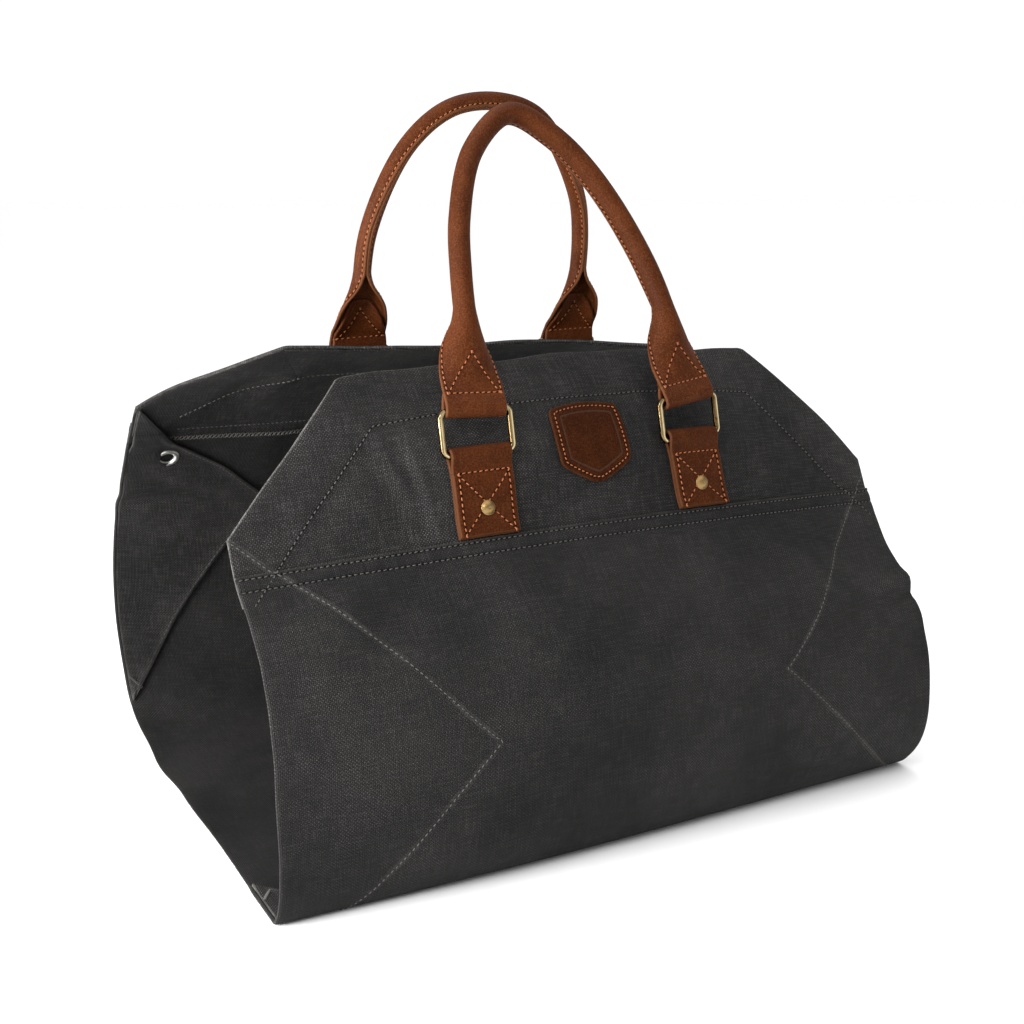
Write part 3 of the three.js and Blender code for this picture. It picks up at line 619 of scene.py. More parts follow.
# Yokes
# Two pieces of the same duck, cut as trapezia and sewn behind the top edges of the panel.
# The top and the slanting sides are turned in once, 32 mm deep, with mitred corners.
# Outer face from the panel's, lap behind the panel and its bow, then height, half width and bow of the top.
YOKE_FACE = -2.3 * MM
YOKE_LAP = {"front": 18 * MM, "back": 19 * MM}
LAP_BOW = {"front": 0.0, "back": 11 * MM}
YOKE_TOP = {"front": 109 * MM, "back": 114.5 * MM}
YOKE_TOP_HALF = {"front": 149 * MM, "back": 152.5 * MM}
YOKE_BOW = 6 * MM
# The hem's sewn row: x of its corner, its height there and its bow, in mm; then where it meets the seam.
HEM_ROW = {"front": (135, 75, 6), "back": (128, 66, 4)}
HEM_FOOT = 204.6 * MM
HEM_LAP = 1.5 * MM
# Added to the distance from an edge where the edge is hardly chafed.
RIM_OFF = {"front": 0.0, "back": 0.7 * MM}
# Distance from a line that a layer doesn't have.
FAR = 40 * MM
# The turned strips inside: depth of cloth turned in, depth and inset of a strip, length of a slanting one.
HEM_TURN = 32 * MM
STRIP_DEPTH = 34 * MM
STRIP_INSET = 1.6 * MM
SLANT_LENGTH = 135 * MM
# How far a slanting strip runs on below the seam, and past the hem's foot along X.
STRIP_TAIL = 8 * MM
STRIP_FOOT = 6 * MM


def chamfer(side):
    """How fast the yoke narrows above the shoulder."""
    return (SHEET_HALF - YOKE_TOP_HALF[side]) / (YOKE_TOP[side] - SHOULDER)


def yoke_half(side, up):
    """Half width of the yoke at a height above the seam."""
    return SHEET_HALF - np.maximum(up - SHOULDER, 0) * chamfer(side)


def yoke_top(side, x):
    """Height of the yoke's bowed top edge above the seam, a little wavy and soft at its corners."""
    half = YOKE_TOP_HALF[side]
    wave = 0.9 * MM * np.sin(x / 0.024 + 0.7) + 0.6 * MM * np.sin(x / 0.0105 + 2.0)
    corner = 1.2 * MM * smoothstep(half - 5 * MM, half, np.abs(x)) ** 2
    bow = YOKE_BOW * (1 - (x / half) ** 2)
    return YOKE_TOP[side] + bow + wave * smoothstep(half, 0.11, np.abs(x)) - corner


def hem_row(side, x):
    """Height of the sewn row along the top hem."""
    corner, up, bow = HEM_ROW[side]
    return (up + bow * (1 - (x / (corner * MM)) ** 2)) * MM


def hem_gap(side, x, up):
    """Distance inside the sewn row of the hems."""
    corner, high, _ = HEM_ROW[side]
    run, rise = HEM_FOOT - corner * MM, high * MM
    slant = ((HEM_FOOT - np.abs(x)) * rise - up * run) / math.hypot(run, rise)
    return np.where(np.abs(x) > corner * MM, slant, np.minimum(slant, hem_row(side, x) - up))


def cloth_layer(side, x, girth, middle, half, gaps, crosswise=False):
    """A layer of cloth about a middle face, with gaps from its lines and a map along the sheet or across."""
    flat = np.stack([girth, x] if crosswise else [x, girth], axis=2)
    values = {name: line(gap) for name, gap in gaps.items()}
    values["rim"] = line(gaps["rim"] + RIM_OFF[side])
    values["crest"] = relief(x, girth) / MM
    return shell(lay(x, girth, middle + half), lay(x, girth, middle - half), flat, values)


def yoke_shells(side):
    """The yoke's outer layer and the three turned strips inside it."""
    top, lap, half_top = YOKE_TOP[side], YOKE_LAP[side], YOKE_TOP_HALF[side]
    rows = edged(top + lap, 2.7 * MM, 0.7 * MM) - lap
    rows = np.sort(np.append(rows, SHOULDER))
    shares = edged(2 * SHEET_HALF, 2.9 * MM, 1.0 * MM) / SHEET_HALF - 1
    level = np.broadcast_to(rows[:, None], (len(rows), len(shares)))
    x = shares * yoke_half(side, level)
    up = level + (yoke_top(side, x) - top) * smoothstep(0.045, top, level) ** 0.8
    up = up - LAP_BOW[side] * (1 - (x / SHEET_HALF) ** 2) * np.clip(-level / lap, 0, 1)
    slant = math.cos(math.atan(chamfer(side)))
    side_gap = (yoke_half(side, level) - np.abs(x)) * np.where(level > SHOULDER, slant, 1)
    edge = np.minimum(side_gap, yoke_top(side, x) - up)
    rolled = smoothstep(3.6 * MM, 1.4 * MM, edge) * smoothstep(SHOULDER - 0.01, SHOULDER, level)
    thick = CANVAS + 1.4 * MM * rolled
    half = round_rim(thick / 2, np.minimum(edge, level + lap))
    girth = girth_at(side, x, up)
    gaps = {
        "rim": edge,
        "hem": hem_gap(side, x, up),
        "v_line": v_gap(side, x, girth),
        "crease": np.full_like(edge, FAR),
    }
    shells = [cloth_layer(side, x, girth, YOKE_FACE - thick / 2, half, gaps)]

    def strip(edge_line, inner_line, length, shift, mitre):
        along = edged(length, 3 * MM, 0.7 * MM) / length
        deep = edged(STRIP_DEPTH, 3 * MM, 0.7 * MM) / STRIP_DEPTH
        a, b = np.meshgrid(along, deep, indexing="ij")
        (ex, eup), (ix, iup) = edge_line(a), inner_line(a)
        x, up = ex + (ix - ex) * b, eup + (iup - eup) * b
        border = np.minimum(np.minimum(b, 1 - b) * STRIP_DEPTH, np.minimum(a, 1 - a) * length)
        half = round_rim(CANVAS / 2, border)
        middle = YOKE_FACE - 1.5 * CANVAS - 0.05 * MM + shift
        gaps = {
            "rim": b * STRIP_DEPTH,
            "hem": hem_gap(side, x, up),
            "v_line": np.full_like(border, FAR),
            # The mitres carry a line of painted shade.
            "crease": mitre(a) * length,
        }
        shells.append(cloth_layer(side, x, girth_at(side, x, up), middle, half, gaps, crosswise=True))

    corner, high = HEM_ROW[side][0] * MM, HEM_ROW[side][1] * MM - HEM_LAP

    def top_edge(a):
        x = (2 * a - 1) * half_top
        return x, yoke_top(side, x) - STRIP_INSET

    def top_inner(a):
        x = (2 * a - 1) * corner
        return x, hem_row(side, x) - HEM_LAP

    strip(top_edge, top_inner, 2 * half_top, -0.5 * MM, lambda a: np.minimum(a, 1 - a))
    for sign in (-1, 1):
        def slant_edge(a):
            up = top - STRIP_INSET - a * (top + STRIP_TAIL)
            return sign * (yoke_half(side, np.maximum(up, SHOULDER)) - STRIP_INSET), up

        def slant_inner(a):
            x = sign * (corner + a * (HEM_FOOT + STRIP_FOOT - corner))
            return x, high - a * (high + STRIP_TAIL)

        strip(slant_edge, slant_inner, SLANT_LENGTH, 0.0, lambda a: a)
    return shells


# A lighter, more rubbed copy of the duck; its extra lightness is partly wear and partly painted light for the
# faces in shade inside the bag.
yoke_canvas = canvas_material("yoke_canvas", 1.42, 1.04)
for side in SIDES:
    yoke_mesh = mesh_of(side + "_yoke_cloth", yoke_shells(side))
    yoke = piece(side + "_yoke_cloth", yoke_mesh, yoke_canvas, side + "_yoke")
    tall, half_top = YOKE_TOP[side] - SHOULDER, YOKE_TOP_HALF[side]
    hem_depth = YOKE_TOP[side] + YOKE_BOW - HEM_ROW[side][1] * MM
    cut_area = 2 * SHEET_HALF * (SHOULDER + YOKE_LAP[side]) + (SHEET_HALF + half_top) * tall
    cut_area += 2 * half_top * hem_depth + 2 * SLANT_LENGTH * HEM_TURN
    "ring_" + side + "_left"
    "ring_" + side + "_right"


# Turn-ins
# The four corners of the panel, folded in along its open ends and sewn down in a V.
# Each is a triangle that lies on the inner face and crosses the inside of the seam.
# Gap from the sheet's end, cloth past the sewn V, least width, and outer face on the panel and on the yoke.
FLAP_EDGE = 2.2 * MM
FLAP_LAP = 1.5 * MM
FLAP_TIP = 1.6 * MM
FLAP_LOW = -1.65 * MM
FLAP_HIGH = -5.3 * MM
# The four corners: side, number of the end, its name and its sign along X.
CORNERS = tuple((side, *end) for side in SIDES for end in ((0, "left", -1), (1, "right", 1)))
# Place of an eyelet: in from the sheet's end and below the shoulder.
EYELET_IN = 31 * MM
EYELET_DROP = 66 * MM
# A crease across each turn-in: its drop and how far in it lies, and how far it spreads each way.
CREASE_DROP = 84 * MM
CREASE_IN = 30 * MM
CREASE_HIGH = 4 * MM
CREASE_WIDE = 16 * MM
# Radius in mm of the hole for an eyelet.
EYELET_CUT = 5.2
# Radius in mm at which a turned form is closed about its axis.
POLE = 0.02


def flap_face(up):
    """Outer face of a turn-in: behind the hems of the yoke, then on the panel."""
    return FLAP_LOW + (FLAP_HIGH - FLAP_LOW) * smoothstep(-0.034, -0.017, up)


def flap_inner(up):
    """Inner face of a turn-in, with the step where the panel laps the yoke."""
    step = 0.9 * MM * smoothstep(-5.2 * MM, -6.8 * MM, up) * smoothstep(-24 * MM, -12 * MM, up)
    return flap_face(up) - CANVAS - step


def flap_shell(side, end, sign):
    """One folded corner."""
    drops = edged(FLAP_DROP, 2.4 * MM, 0.7 * MM)
    shares = edged(1.0, 0.026, 0.008)
    drop, share = np.meshgrid(drops, shares, indexing="ij")
    width = np.maximum(FLAP_TIP, v_width(side, end, drop) + FLAP_LAP)
    x = sign * (SHEET_HALF - FLAP_EDGE - share * width)
    girth = corner_girth(side, x, drop)
    up = up_at(side, x, girth)
    raw_gap = (1 - share) * width * V_SLOPE
    border = np.minimum(np.minimum(share * width, raw_gap), np.minimum(drop, FLAP_DROP - drop))
    rounded = round_rim(CANVAS / 2, border) / (CANVAS / 2)
    ripple = 0.7 * MM * np.sin(up / 0.017 + 3 * share) * np.sin(share * math.pi) * smoothstep(0.0, 0.03, drop)
    across = ridge(share * width, CREASE_IN, CREASE_WIDE)
    crease = 0.9 * MM * ridge(drop, CREASE_DROP, CREASE_HIGH) * across
    hem = 0.7 * MM * smoothstep(6 * MM, 2 * MM, raw_gap)
    outer, inner = flap_face(up) - np.abs(ripple), flap_inner(up) - np.abs(ripple) - hem - crease
    gaps = {
        "rim": share * width,
        "v_line": raw_gap - V_SLOPE * FLAP_LAP,
        # The step and the sewn edge carry a line of painted shade.
        "crease": np.minimum(np.abs(up + 6 * MM), raw_gap),
    }
    return cloth_layer(side, x, girth, (outer + inner) / 2, (outer - inner) / 2 * rounded, gaps)


def outward(x, girth, out):
    """A place on the cloth and the direction out of it."""
    low, high = (lay(x, girth, np.asarray(out) + rise, folds=False) for rise in (0, MM))
    return lay(x, girth, out), unit(high - low)


def closed_grid(points, values):
    """Vertices, faces, empty map and values of a grid that closes on itself both ways."""
    ids = np.arange(points.shape[0] * points.shape[1]).reshape(points.shape[:2])
    after = np.roll(ids, -1, axis=0)
    rings = [ids, after, np.roll(after, -1, axis=1), np.roll(ids, -1, axis=1)]
    faces = np.stack(rings, axis=-1).reshape(-1, 4)
    points = points.reshape(-1, 3)
    return points, facing_out(points, faces), np.zeros((len(points), 2)), values


def turned(profile, centre, axis, sides=40):
    """A closed turned form: a loop of radius and height in mm about an axis."""
    axis = unit(axis)
    one = unit(np.cross(axis, (1.0, 0.0, 0.0)))
    two = np.cross(axis, one)
    turn = np.linspace(0, 2 * math.pi, sides, endpoint=False)
    ring = np.cos(turn)[:, None] * one + np.sin(turn)[:, None] * two
    profile = np.array(profile) * MM
    return closed_grid(centre + ring[:, None] * profile[None, :, :1] + axis * profile[None, :, 1:], {})


def cut_by(thing, cutter_mesh):
    """The object's mesh with a hole cut by another mesh."""
    cutter = bpy.data.objects.new("cutter", cutter_mesh)
    bpy.context.scene.collection.objects.link(cutter)
    cut = thing.modifiers.new("hole", "BOOLEAN")
    cut.operation = "DIFFERENCE"
    cut.object = cutter
    cut.solver = "EXACT"
    made = bpy.data.meshes.new_from_object(thing.evaluated_get(bpy.context.evaluated_depsgraph_get()))
    thing.modifiers.remove(cut)
    bpy.data.objects.remove(cutter)
    thing.data = made
    made.name = thing.name


def flap_eyelet(side, sign):
    """Centre of the eyelet on the turn-in's inner face, and the direction into the bag."""
    x = np.array(sign * (SHEET_HALF - EYELET_IN))
    girth = corner_girth(side, x, EYELET_DROP)
    spot, away = outward(x, girth, flap_inner(up_at(side, x, girth)))
    return spot, -away


for side, end, hand, sign in CORNERS:
    name = "flap_" + side + "_" + hand
    # The turn-ins take the lighter yoke duck, partly as painted light, as they lie in shade inside the bag.
    flap = piece(name + "_cloth", mesh_of(name, [flap_shell(side, end, sign)]), yoke_canvas, name)
    plug = [(POLE, -4), (EYELET_CUT, -4), (EYELET_CUT, 4), (POLE, 4)]
    cut_by(flap, mesh_of("plug", [turned(plug, *flap_eyelet(side, sign), 24)]))
    flat = (max(reach for _, reach in V_FORM[side][end]) * MM, FLAP_DROP)
    flat[0] * flat[1] / 2


# Eyelets
# Pressed nickel rings, one in each turn-in, rolled over the cloth on both faces.
# They are turned forms, dull with handling.
def metal_material(name, metal_and_highlight, dark, rough):
    """Handled metal, a little stained, with a painted highlight along a line of the wire and painted shade on
    its flanks where the mesh carries them.
    """
    material, shader, solid = new_material(name)
    stain = solid.noise(120.0, 4.0, 0.6)
    fine = solid.noise(700.0, 2.0, 0.5)
    painted_shade = attribute(solid, "painted_shade")
    # Stains and the painted shade that the rings carry mix towards the dark colour; where both are zero the
    # bright colour stays, on the rings a painted highlight.
    colour = mix((stain.ramp(0.46, 0.72) * 0.15 + painted_shade).math("MINIMUM", 1.0), metal_and_highlight, dark)
    roughness = rough + 0.10 * stain.ramp(0.40, 0.70) + 0.05 * fine
    surface(shader, colour, roughness, stain * 0.5 + fine * 0.2, 0.02 * MM, 0.03)
    shader.inputs["Metallic"].default_value = 1.0
    return material


nickel = metal_material("nickel", (0.64, 0.62, 0.59), (0.38, 0.37, 0.35), 0.38)
# Radius and height in mm, from the outer rim over the top and down through the hole.
EYELET_FORM = (
    (8.6, 0.15), (8.4, 0.85), (7.6, 1.3), (6.5, 1.35), (5.5, 1.0), (4.95, 0.2),
    (4.8, -0.4), (4.8, -0.8), (5.0, -0.95), (5.2, -0.8), (5.3, -0.1), (5.6, 0.1),
)
for side, _, hand, sign in CORNERS:
    name = "eyelet_" + side + "_" + hand
    eyelet = mesh_of(name, [turned(EYELET_FORM, *flap_eyelet(side, sign))])
    piece(name + "_ring", eyelet, nickel, name)


# Canvas stitching
# Lockstitch rows in grey thread: two along each seam, one along the hems, one round each turn-in.
# Inside, the raw edge of each yoke is bound by an overlock row.
def stitch_tree():
    """Geometry nodes that set stitches along a path, flat on the face the path carries."""
    tree = bpy.data.node_groups.new("stitch_row", "GeometryNodeTree")
    tree.interface.new_socket(name="Path", in_out="INPUT", socket_type="NodeSocketGeometry")
    for name in ("Spacing", "Length", "Thickness", "Slant", "Lift", "Jitter"):
        tree.interface.new_socket(name=name, in_out="INPUT", socket_type="NodeSocketFloat")
    tree.interface.new_socket(name="Seed", in_out="INPUT", socket_type="NodeSocketInt")
    tree.interface.new_socket(name="Thread", in_out="INPUT", socket_type="NodeSocketMaterial")
    tree.interface.new_socket(name="Stitches", in_out="OUTPUT", socket_type="NodeSocketGeometry")

    def add(kind, inputs, **settings):
        node = tree.nodes.new(kind)
        for key, value in settings.items():
            setattr(node, key, value)
        for key, value in inputs.items():
            if isinstance(value, bpy.types.NodeSocket):
                tree.links.new(value, node.inputs[key])
            else:
                node.inputs[key].default_value = value
        return node.outputs

    given = tree.nodes.new("NodeGroupInput").outputs
    run = add("GeometryNodeMeshToCurve", {"Mesh": given["Path"]})["Curve"]
    spacing = {"Curve": run, "Length": given["Spacing"]}
    spots = add("GeometryNodeResampleCurve", spacing, mode="LENGTH")["Curve"]
    face = add("GeometryNodeInputNamedAttribute", {"Name": "face"}, data_type="FLOAT_VECTOR")["Attribute"]
    tangent = add("GeometryNodeInputTangent", {})["Tangent"]
    along = add("FunctionNodeAlignRotationToVector", {"Vector": tangent}, axis="X")["Rotation"]
    facing = {"Rotation": along, "Vector": face}
    flat = add("FunctionNodeAlignRotationToVector", facing, axis="Z", pivot_axis="X")["Rotation"]
    least = add("ShaderNodeMath", {0: given["Jitter"], 1: -1.0}, operation="MULTIPLY")[0]
    limits = {"Min": least, "Max": given["Jitter"], "Seed": given["Seed"]}
    stray = next(o for o in add("FunctionNodeRandomValue", limits, data_type="FLOAT") if o.enabled)
    swing = add("ShaderNodeMath", {0: given["Slant"], 1: stray}, operation="ADD")[0]
    euler = add("ShaderNodeCombineXYZ", {"Z": swing})[0]
    by = add("FunctionNodeEulerToRotation", {"Euler": euler})["Rotation"]
    slanted = {"Rotation": flat, "Rotate By": by}
    rotation = add("FunctionNodeRotateRotation", slanted, rotation_space="LOCAL")["Rotation"]
    offset = add("ShaderNodeVectorMath", {0: face, "Scale": given["Lift"]}, operation="SCALE")[0]
    raised = add("GeometryNodeSetPosition", {"Geometry": spots, "Offset": offset})["Geometry"]
    ball = add("GeometryNodeMeshUVSphere", {"Segments": 6, "Rings": 5, "Radius": 0.5})["Mesh"]
    thick = given["Thickness"]
    size = add("ShaderNodeCombineXYZ", {"X": given["Length"], "Y": thick, "Z": thick})[0]
    thread = add("GeometryNodeTransform", {"Geometry": ball, "Scale": size})["Geometry"]
    placed = {"Points": raised, "Instance": thread, "Rotation": rotation}
    row = add("GeometryNodeInstanceOnPoints", placed)["Instances"]
    solid = add("GeometryNodeRealizeInstances", {"Geometry": row})["Geometry"]
    smooth = add("GeometryNodeSetShadeSmooth", {"Geometry": solid})["Geometry"]
    done = add("GeometryNodeSetMaterial", {"Geometry": smooth, "Material": given["Thread"]})["Geometry"]
    tree.links.new(done, tree.nodes.new("NodeGroupOutput").inputs["Stitches"])
    return tree


STITCH_TREE = stitch_tree()
STITCH_SEED = 7


def sew(name, paths, material, slot, **sizes):
    """A piece of stitches along paths of points and face directions."""
    points = np.concatenate([path[0] for path in paths])
    faces = np.concatenate([path[1] for path in paths])
    edges, start = [], 0
    for path, _ in paths:
        edges += [(start + k, start + k + 1) for k in range(len(path) - 1)]
        start += len(path)
    mesh = bpy.data.meshes.new(name)
    mesh.from_pydata(points.tolist(), edges, [])
    facing = mesh.attributes.new("face", "FLOAT_VECTOR", "POINT")
    facing.data.foreach_set("vector", faces.astype(np.float32).ravel())
    thing = bpy.data.objects.new(name, mesh)
    bpy.context.scene.collection.objects.link(thing)
    rows = thing.modifiers.new("stitches", "NODES")
    rows.node_group = STITCH_TREE
    values = {"Seed": STITCH_SEED, "Thread": material, **sizes}
    for socket in STITCH_TREE.interface.items_tree:
        if socket.in_out == "INPUT" and socket.name in values:
            rows[socket.identifier] = values[socket.name]
    made = bpy.data.meshes.new_from_object(thing.evaluated_get(bpy.context.evaluated_depsgraph_get()))
    thing.modifiers.remove(rows)
    thing.data = made
    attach(thing, "root")
    return thing


# Stitches stay this far above the floor.
LEAST_HEIGHT = 0.5 * MM


def on_cloth(side, corners, out, inside=False, from_shoulder=False):
    """A sewn line through corners of x and up in mm, or of x and drop below the shoulder."""
    corners = np.array(corners, float) * MM
    run = []
    for a, b in zip(corners[:-1], corners[1:]):
        steps = max(2, round(np.linalg.norm(b - a) / (2.5 * MM)))
        run.append(a + (b - a) * np.linspace(0, 1, steps, endpoint=False)[:, None])
    x, place = np.concatenate(run + [corners[-1:]]).T
    girth = corner_girth(side, x, place) if from_shoulder else girth_at(side, x, place)
    up = up_at(side, x, girth)
    points, away = outward(x, girth, out(up) if callable(out) else np.full(len(x), out))
    points[:, 2] = np.maximum(points[:, 2], LEAST_HEIGHT)
    return points, -away if inside else away


def between(path, spacing):
    """The same sewn line from half a stitch in to half a stitch short, for the needle holes."""
    length = run_length(path[0])
    half = length[-1] / max(1, int(length[-1] / spacing)) / 2
    places = length[(length > half) & (length < length[-1] - half)]
    places = np.concatenate([[half], places, [length[-1] - half]])
    return tuple(along_run(places, length, part) for part in path)


def thread_material(name, deep, bright):
    """Twisted thread, lighter on its plies; made near black, it also gives the painted shade in needle holes.
    """
    material, shader, solid = new_material(name)
    fibre = solid.noise(2600.0, 3.0)
    cloud = solid.noise(45.0, 2.0)
    colour = mix(fibre * 0.6 + cloud * 0.5, deep, bright)
    surface(shader, colour, 0.62 + 0.25 * fibre, fibre, 0.08 * MM, 0.6)
    shader.inputs["Specular IOR Level"].default_value = 0.06
    return material


def outer_face(up):
    """Outer face of the yoke above the seam and of the panel below it."""
    return np.where(up > 0, YOKE_FACE, 0.0)


def inner_flap_face(up):
    """Inner face of a turn-in under its sewn rows."""
    return flap_inner(up) - 0.3 * MM


grey_thread = thread_material("canvas_thread", (0.044, 0.042, 0.040), (0.123, 0.118, 0.112))
overlock_thread = thread_material("overlock_thread", (0.050, 0.048, 0.045), (0.135, 0.128, 0.120))
# Near-black blobs between the stitches: painted shade in the needle holes of the canvas.
dark_hole = thread_material("needle_hole", (0.0015, 0.0015, 0.0015), (0.004, 0.0038, 0.0036))
CANVAS_ROW = dict(
    Spacing=3.5 * MM, Length=2.6 * MM, Thickness=0.8 * MM, Slant=0.12, Jitter=0.12, Lift=0.15 * MM)
CANVAS_HOLE = dict(
    Spacing=3.5 * MM, Length=1.5 * MM, Thickness=0.95 * MM, Slant=0.0, Jitter=0.0, Lift=0.0)
OVERLOCK = dict(Spacing=3.2 * MM, Length=6.5 * MM, Thickness=0.9 * MM, Jitter=0.08, Lift=0.2 * MM)
BAR_TACK = dict(
    Spacing=0.9 * MM, Length=2.6 * MM, Thickness=0.7 * MM, Slant=1.45, Jitter=0.06, Lift=0.15 * MM)
# Turn of an overlock stitch from its row in radians, one way going out and the other coming back.
OVERLOCK_SLANT = 1.05
# Ends of the rows in mm: x of the seam rows, x and up of the hem row below the seam and of its inner one.
ROW_END = 226
HEM_TAIL = (222, -19)
INNER_HEM_TAIL = (196, 9)
# How far the ends of a V's row stay from its tips, in mm.
TIP_GAP = 3
# X and drop of both ends of a bar tack, and x of the overlock's ends, in mm.
TACK = ((225, 257), (218, 267))
BOUND_END = 205
# The overlock's distance from the raw edge, and that of the row above it from the overlock in mm.
BOUND_IN = 3.2 * MM
SECOND_ROW = 10.5


def both_ends(run):
    """A run of x and a second measure at the left end, and the same run at the right end."""
    return [[(sign * x, place) for x, place in run] for sign in (-1, 1)]


for side in SIDES:
    hem_corner = HEM_ROW[side][0]
    hem_x = np.linspace(-hem_corner * MM, hem_corner * MM, 60)
    hem_line = list(zip(hem_x / MM, hem_row(side, hem_x) / MM))
    corners = []
    for sign, form in zip((-1, 1), V_FORM[side]):
        turns = [(sign * (SHEET_HALF / MM - reach), drop) for drop, reach in form[1:-1]]
        tips = [(sign * ROW_END, drop) for drop in (form[0][0] + TIP_GAP, form[-1][0] - TIP_GAP)]
        corners.append([tips[0], *turns, tips[1]])
    rows = [on_cloth(side, [(-ROW_END, -up), (ROW_END, -up)], -0.4 * MM) for up in SEAM_ROWS]
    left_tail, right_tail = both_ends([HEM_TAIL, (HEM_FOOT / MM, 0)])
    rows += [on_cloth(side, [*left_tail, *hem_line, *right_tail[::-1]], outer_face)]
    holes = [between(row, CANVAS_HOLE["Spacing"]) for row in rows]
    sew(side + "_needle_holes", holes, dark_hole, "canvas", **CANVAS_HOLE)
    rows += [on_cloth(side, corner, outer_face, from_shoulder=True) for corner in corners]
    sew(side + "_stitching", rows, grey_thread, "canvas", **CANVAS_ROW)
    inside_hem = YOKE_FACE - 2 * CANVAS - 0.5 * MM
    rows = [on_cloth(side, corner, inner_flap_face, True, True) for corner in corners]
    rows += [on_cloth(side, hem_line, inside_hem, True)]
    slants = both_ends([HEM_ROW[side][:2], INNER_HEM_TAIL])
    rows += [on_cloth(side, slant, inside_hem + 0.5 * MM, True) for slant in slants]
    bound_x = np.linspace(-BOUND_END, BOUND_END, 40)
    lap_bow = LAP_BOW[side] * (1 - (bound_x * MM / SHEET_HALF) ** 2)
    bound_up = (BOUND_IN - YOKE_LAP[side] - lap_bow) / MM
    inside_lap = YOKE_FACE - CANVAS
    rows += [on_cloth(side, list(zip(bound_x, bound_up + SECOND_ROW))[1:-1], inside_lap, True)]
    sew(side + "_inner_stitching", rows, grey_thread, "canvas", **CANVAS_ROW)
    bound = [on_cloth(side, list(zip(bound_x, bound_up)), inside_lap, True)]
    for turn, slant in (("out", OVERLOCK_SLANT), ("back", -OVERLOCK_SLANT)):
        sew(side + "_overlock_" + turn, bound, overlock_thread, "canvas", Slant=slant, **OVERLOCK)
    tacks = [on_cloth(side, tack, inner_flap_face, True, True) for tack in both_ends(TACK)]
    sew(side + "_bar_tacks", tacks, grey_thread, "canvas", **BAR_TACK)


# Leather tabs
# Strips of saddle leather doubled round the lower bar of each ring, sewn in a box with a cross.
# Cut edges are raw and paler than the grain side.
LEATHER = 2.4 * MM
TAB_HALF = 19.5 * MM
# Out from the panel's face: the ring's bar, the strip's radius round it, and the strip's two layers.
BAR_OUT = 2.4 * MM
TAB_LOOP = 3.5 * MM
TAB_FRONT = 1.65 * MM
TAB_BACK = -0.9 * MM
# Distance of the sewn row from the edge.
TAB_ROW = 3.5 * MM
# How far below its ring's bar the top of a tab's sewn box lies, in mm.
TAB_BOX_DROP = 10.6
# Each tab, left one first: its middle along X at the seam in mm, its lean along X for each mm up, and the
# heights of its ring's bar and of its rivet in mm.
TABS = {
    "front": ((-77, 0.0, 49, 17), (78.7, -0.09, 46, 15.5)),
    "back": ((-87.5, 0.0, 54, 17), (77, 0.0, 54, 17)),
}


def tab_x(tab, up):
    """Middle of a tab along X at a height above the seam."""
    return tab[0] * MM + tab[1] * up


def leather_material(name, tone, shine):
    """Saddle leather: deep brown with a fine grain, pressed along its rows and paler on cut edges."""
    material, shader, solid = new_material(name)
    rim, row, tooled = (from_line(solid, name) for name in ("rim", "row", "tooled"))
    mottle = solid.noise(30.0, 5.0, 0.6)
    wear = solid.noise(95.0, 5.0, 0.62)
    scuffs = solid.stretch(1, 1, 0.35).noise(420.0, 3.0, 0.6)
    pores = solid.node("ShaderNodeTexVoronoi", {}, {"Vector": solid, "Scale": 1000.0})
    grain = solid.noise(1050.0, 3.0, 0.6)
    fibre = solid.noise(2600.0, 2.0)

    def brown(red, green, blue):
        return red * tone, green * tone, blue * tone

    base = mix(mottle.ramp(0.34, 0.68), brown(0.135, 0.0320, 0.0070), brown(0.205, 0.0510, 0.0118))
    base = mix(wear.ramp(0.52, 0.76) * 0.35, base, brown(0.28, 0.090, 0.028))
    base = mix(wear.ramp(0.44, 0.26) * 0.4, base, brown(0.080, 0.0195, 0.0055))
    base = mix(scuffs.ramp(0.58, 0.74) * 0.40, base, brown(0.32, 0.115, 0.040))
    base = mix(grain.ramp(0.50, 0.68) * 0.60, base, brown(0.30, 0.100, 0.034))
    base = mix(grain.ramp(0.50, 0.34) * 0.60, base, brown(0.070, 0.0170, 0.0045))
    base = mix(row.ramp(1.4, 0.3) * 0.5, base, brown(0.055, 0.0150, 0.0045))
    base = mix(tooled.ramp(0.8, 0.2) * 0.5, base, (0.060, 0.036, 0.026))
    edge = mix(fibre, brown(0.21, 0.070, 0.026), brown(0.36, 0.150, 0.066))
    colour = mix(rim.ramp(1.15, 0.6) * (0.45 + 0.5 * wear), base, edge)
    roughness = 0.42 + 0.14 * mottle + 0.14 * grain
    height = pores.ramp(0.0, 0.6) * 0.6 + grain * 0.6 + wear * 0.7 - row.ramp(1.2, 0.2) * 1.8
    surface(shader, colour, roughness, height, 0.15 * MM, 0.6)
    shader.inputs["Specular IOR Level"].default_value = shine
    return material


tab_leather = leather_material("tab_leather", 0.30, 0.05)
tan_thread = thread_material("leather_thread", (0.19, 0.060, 0.024), (0.40, 0.140, 0.060))
# Dark brown blobs between the stitches: painted shade in the needle holes of the leather.
brown_hole = thread_material("leather_hole", (0.004, 0.0016, 0.0008), (0.010, 0.004, 0.002))


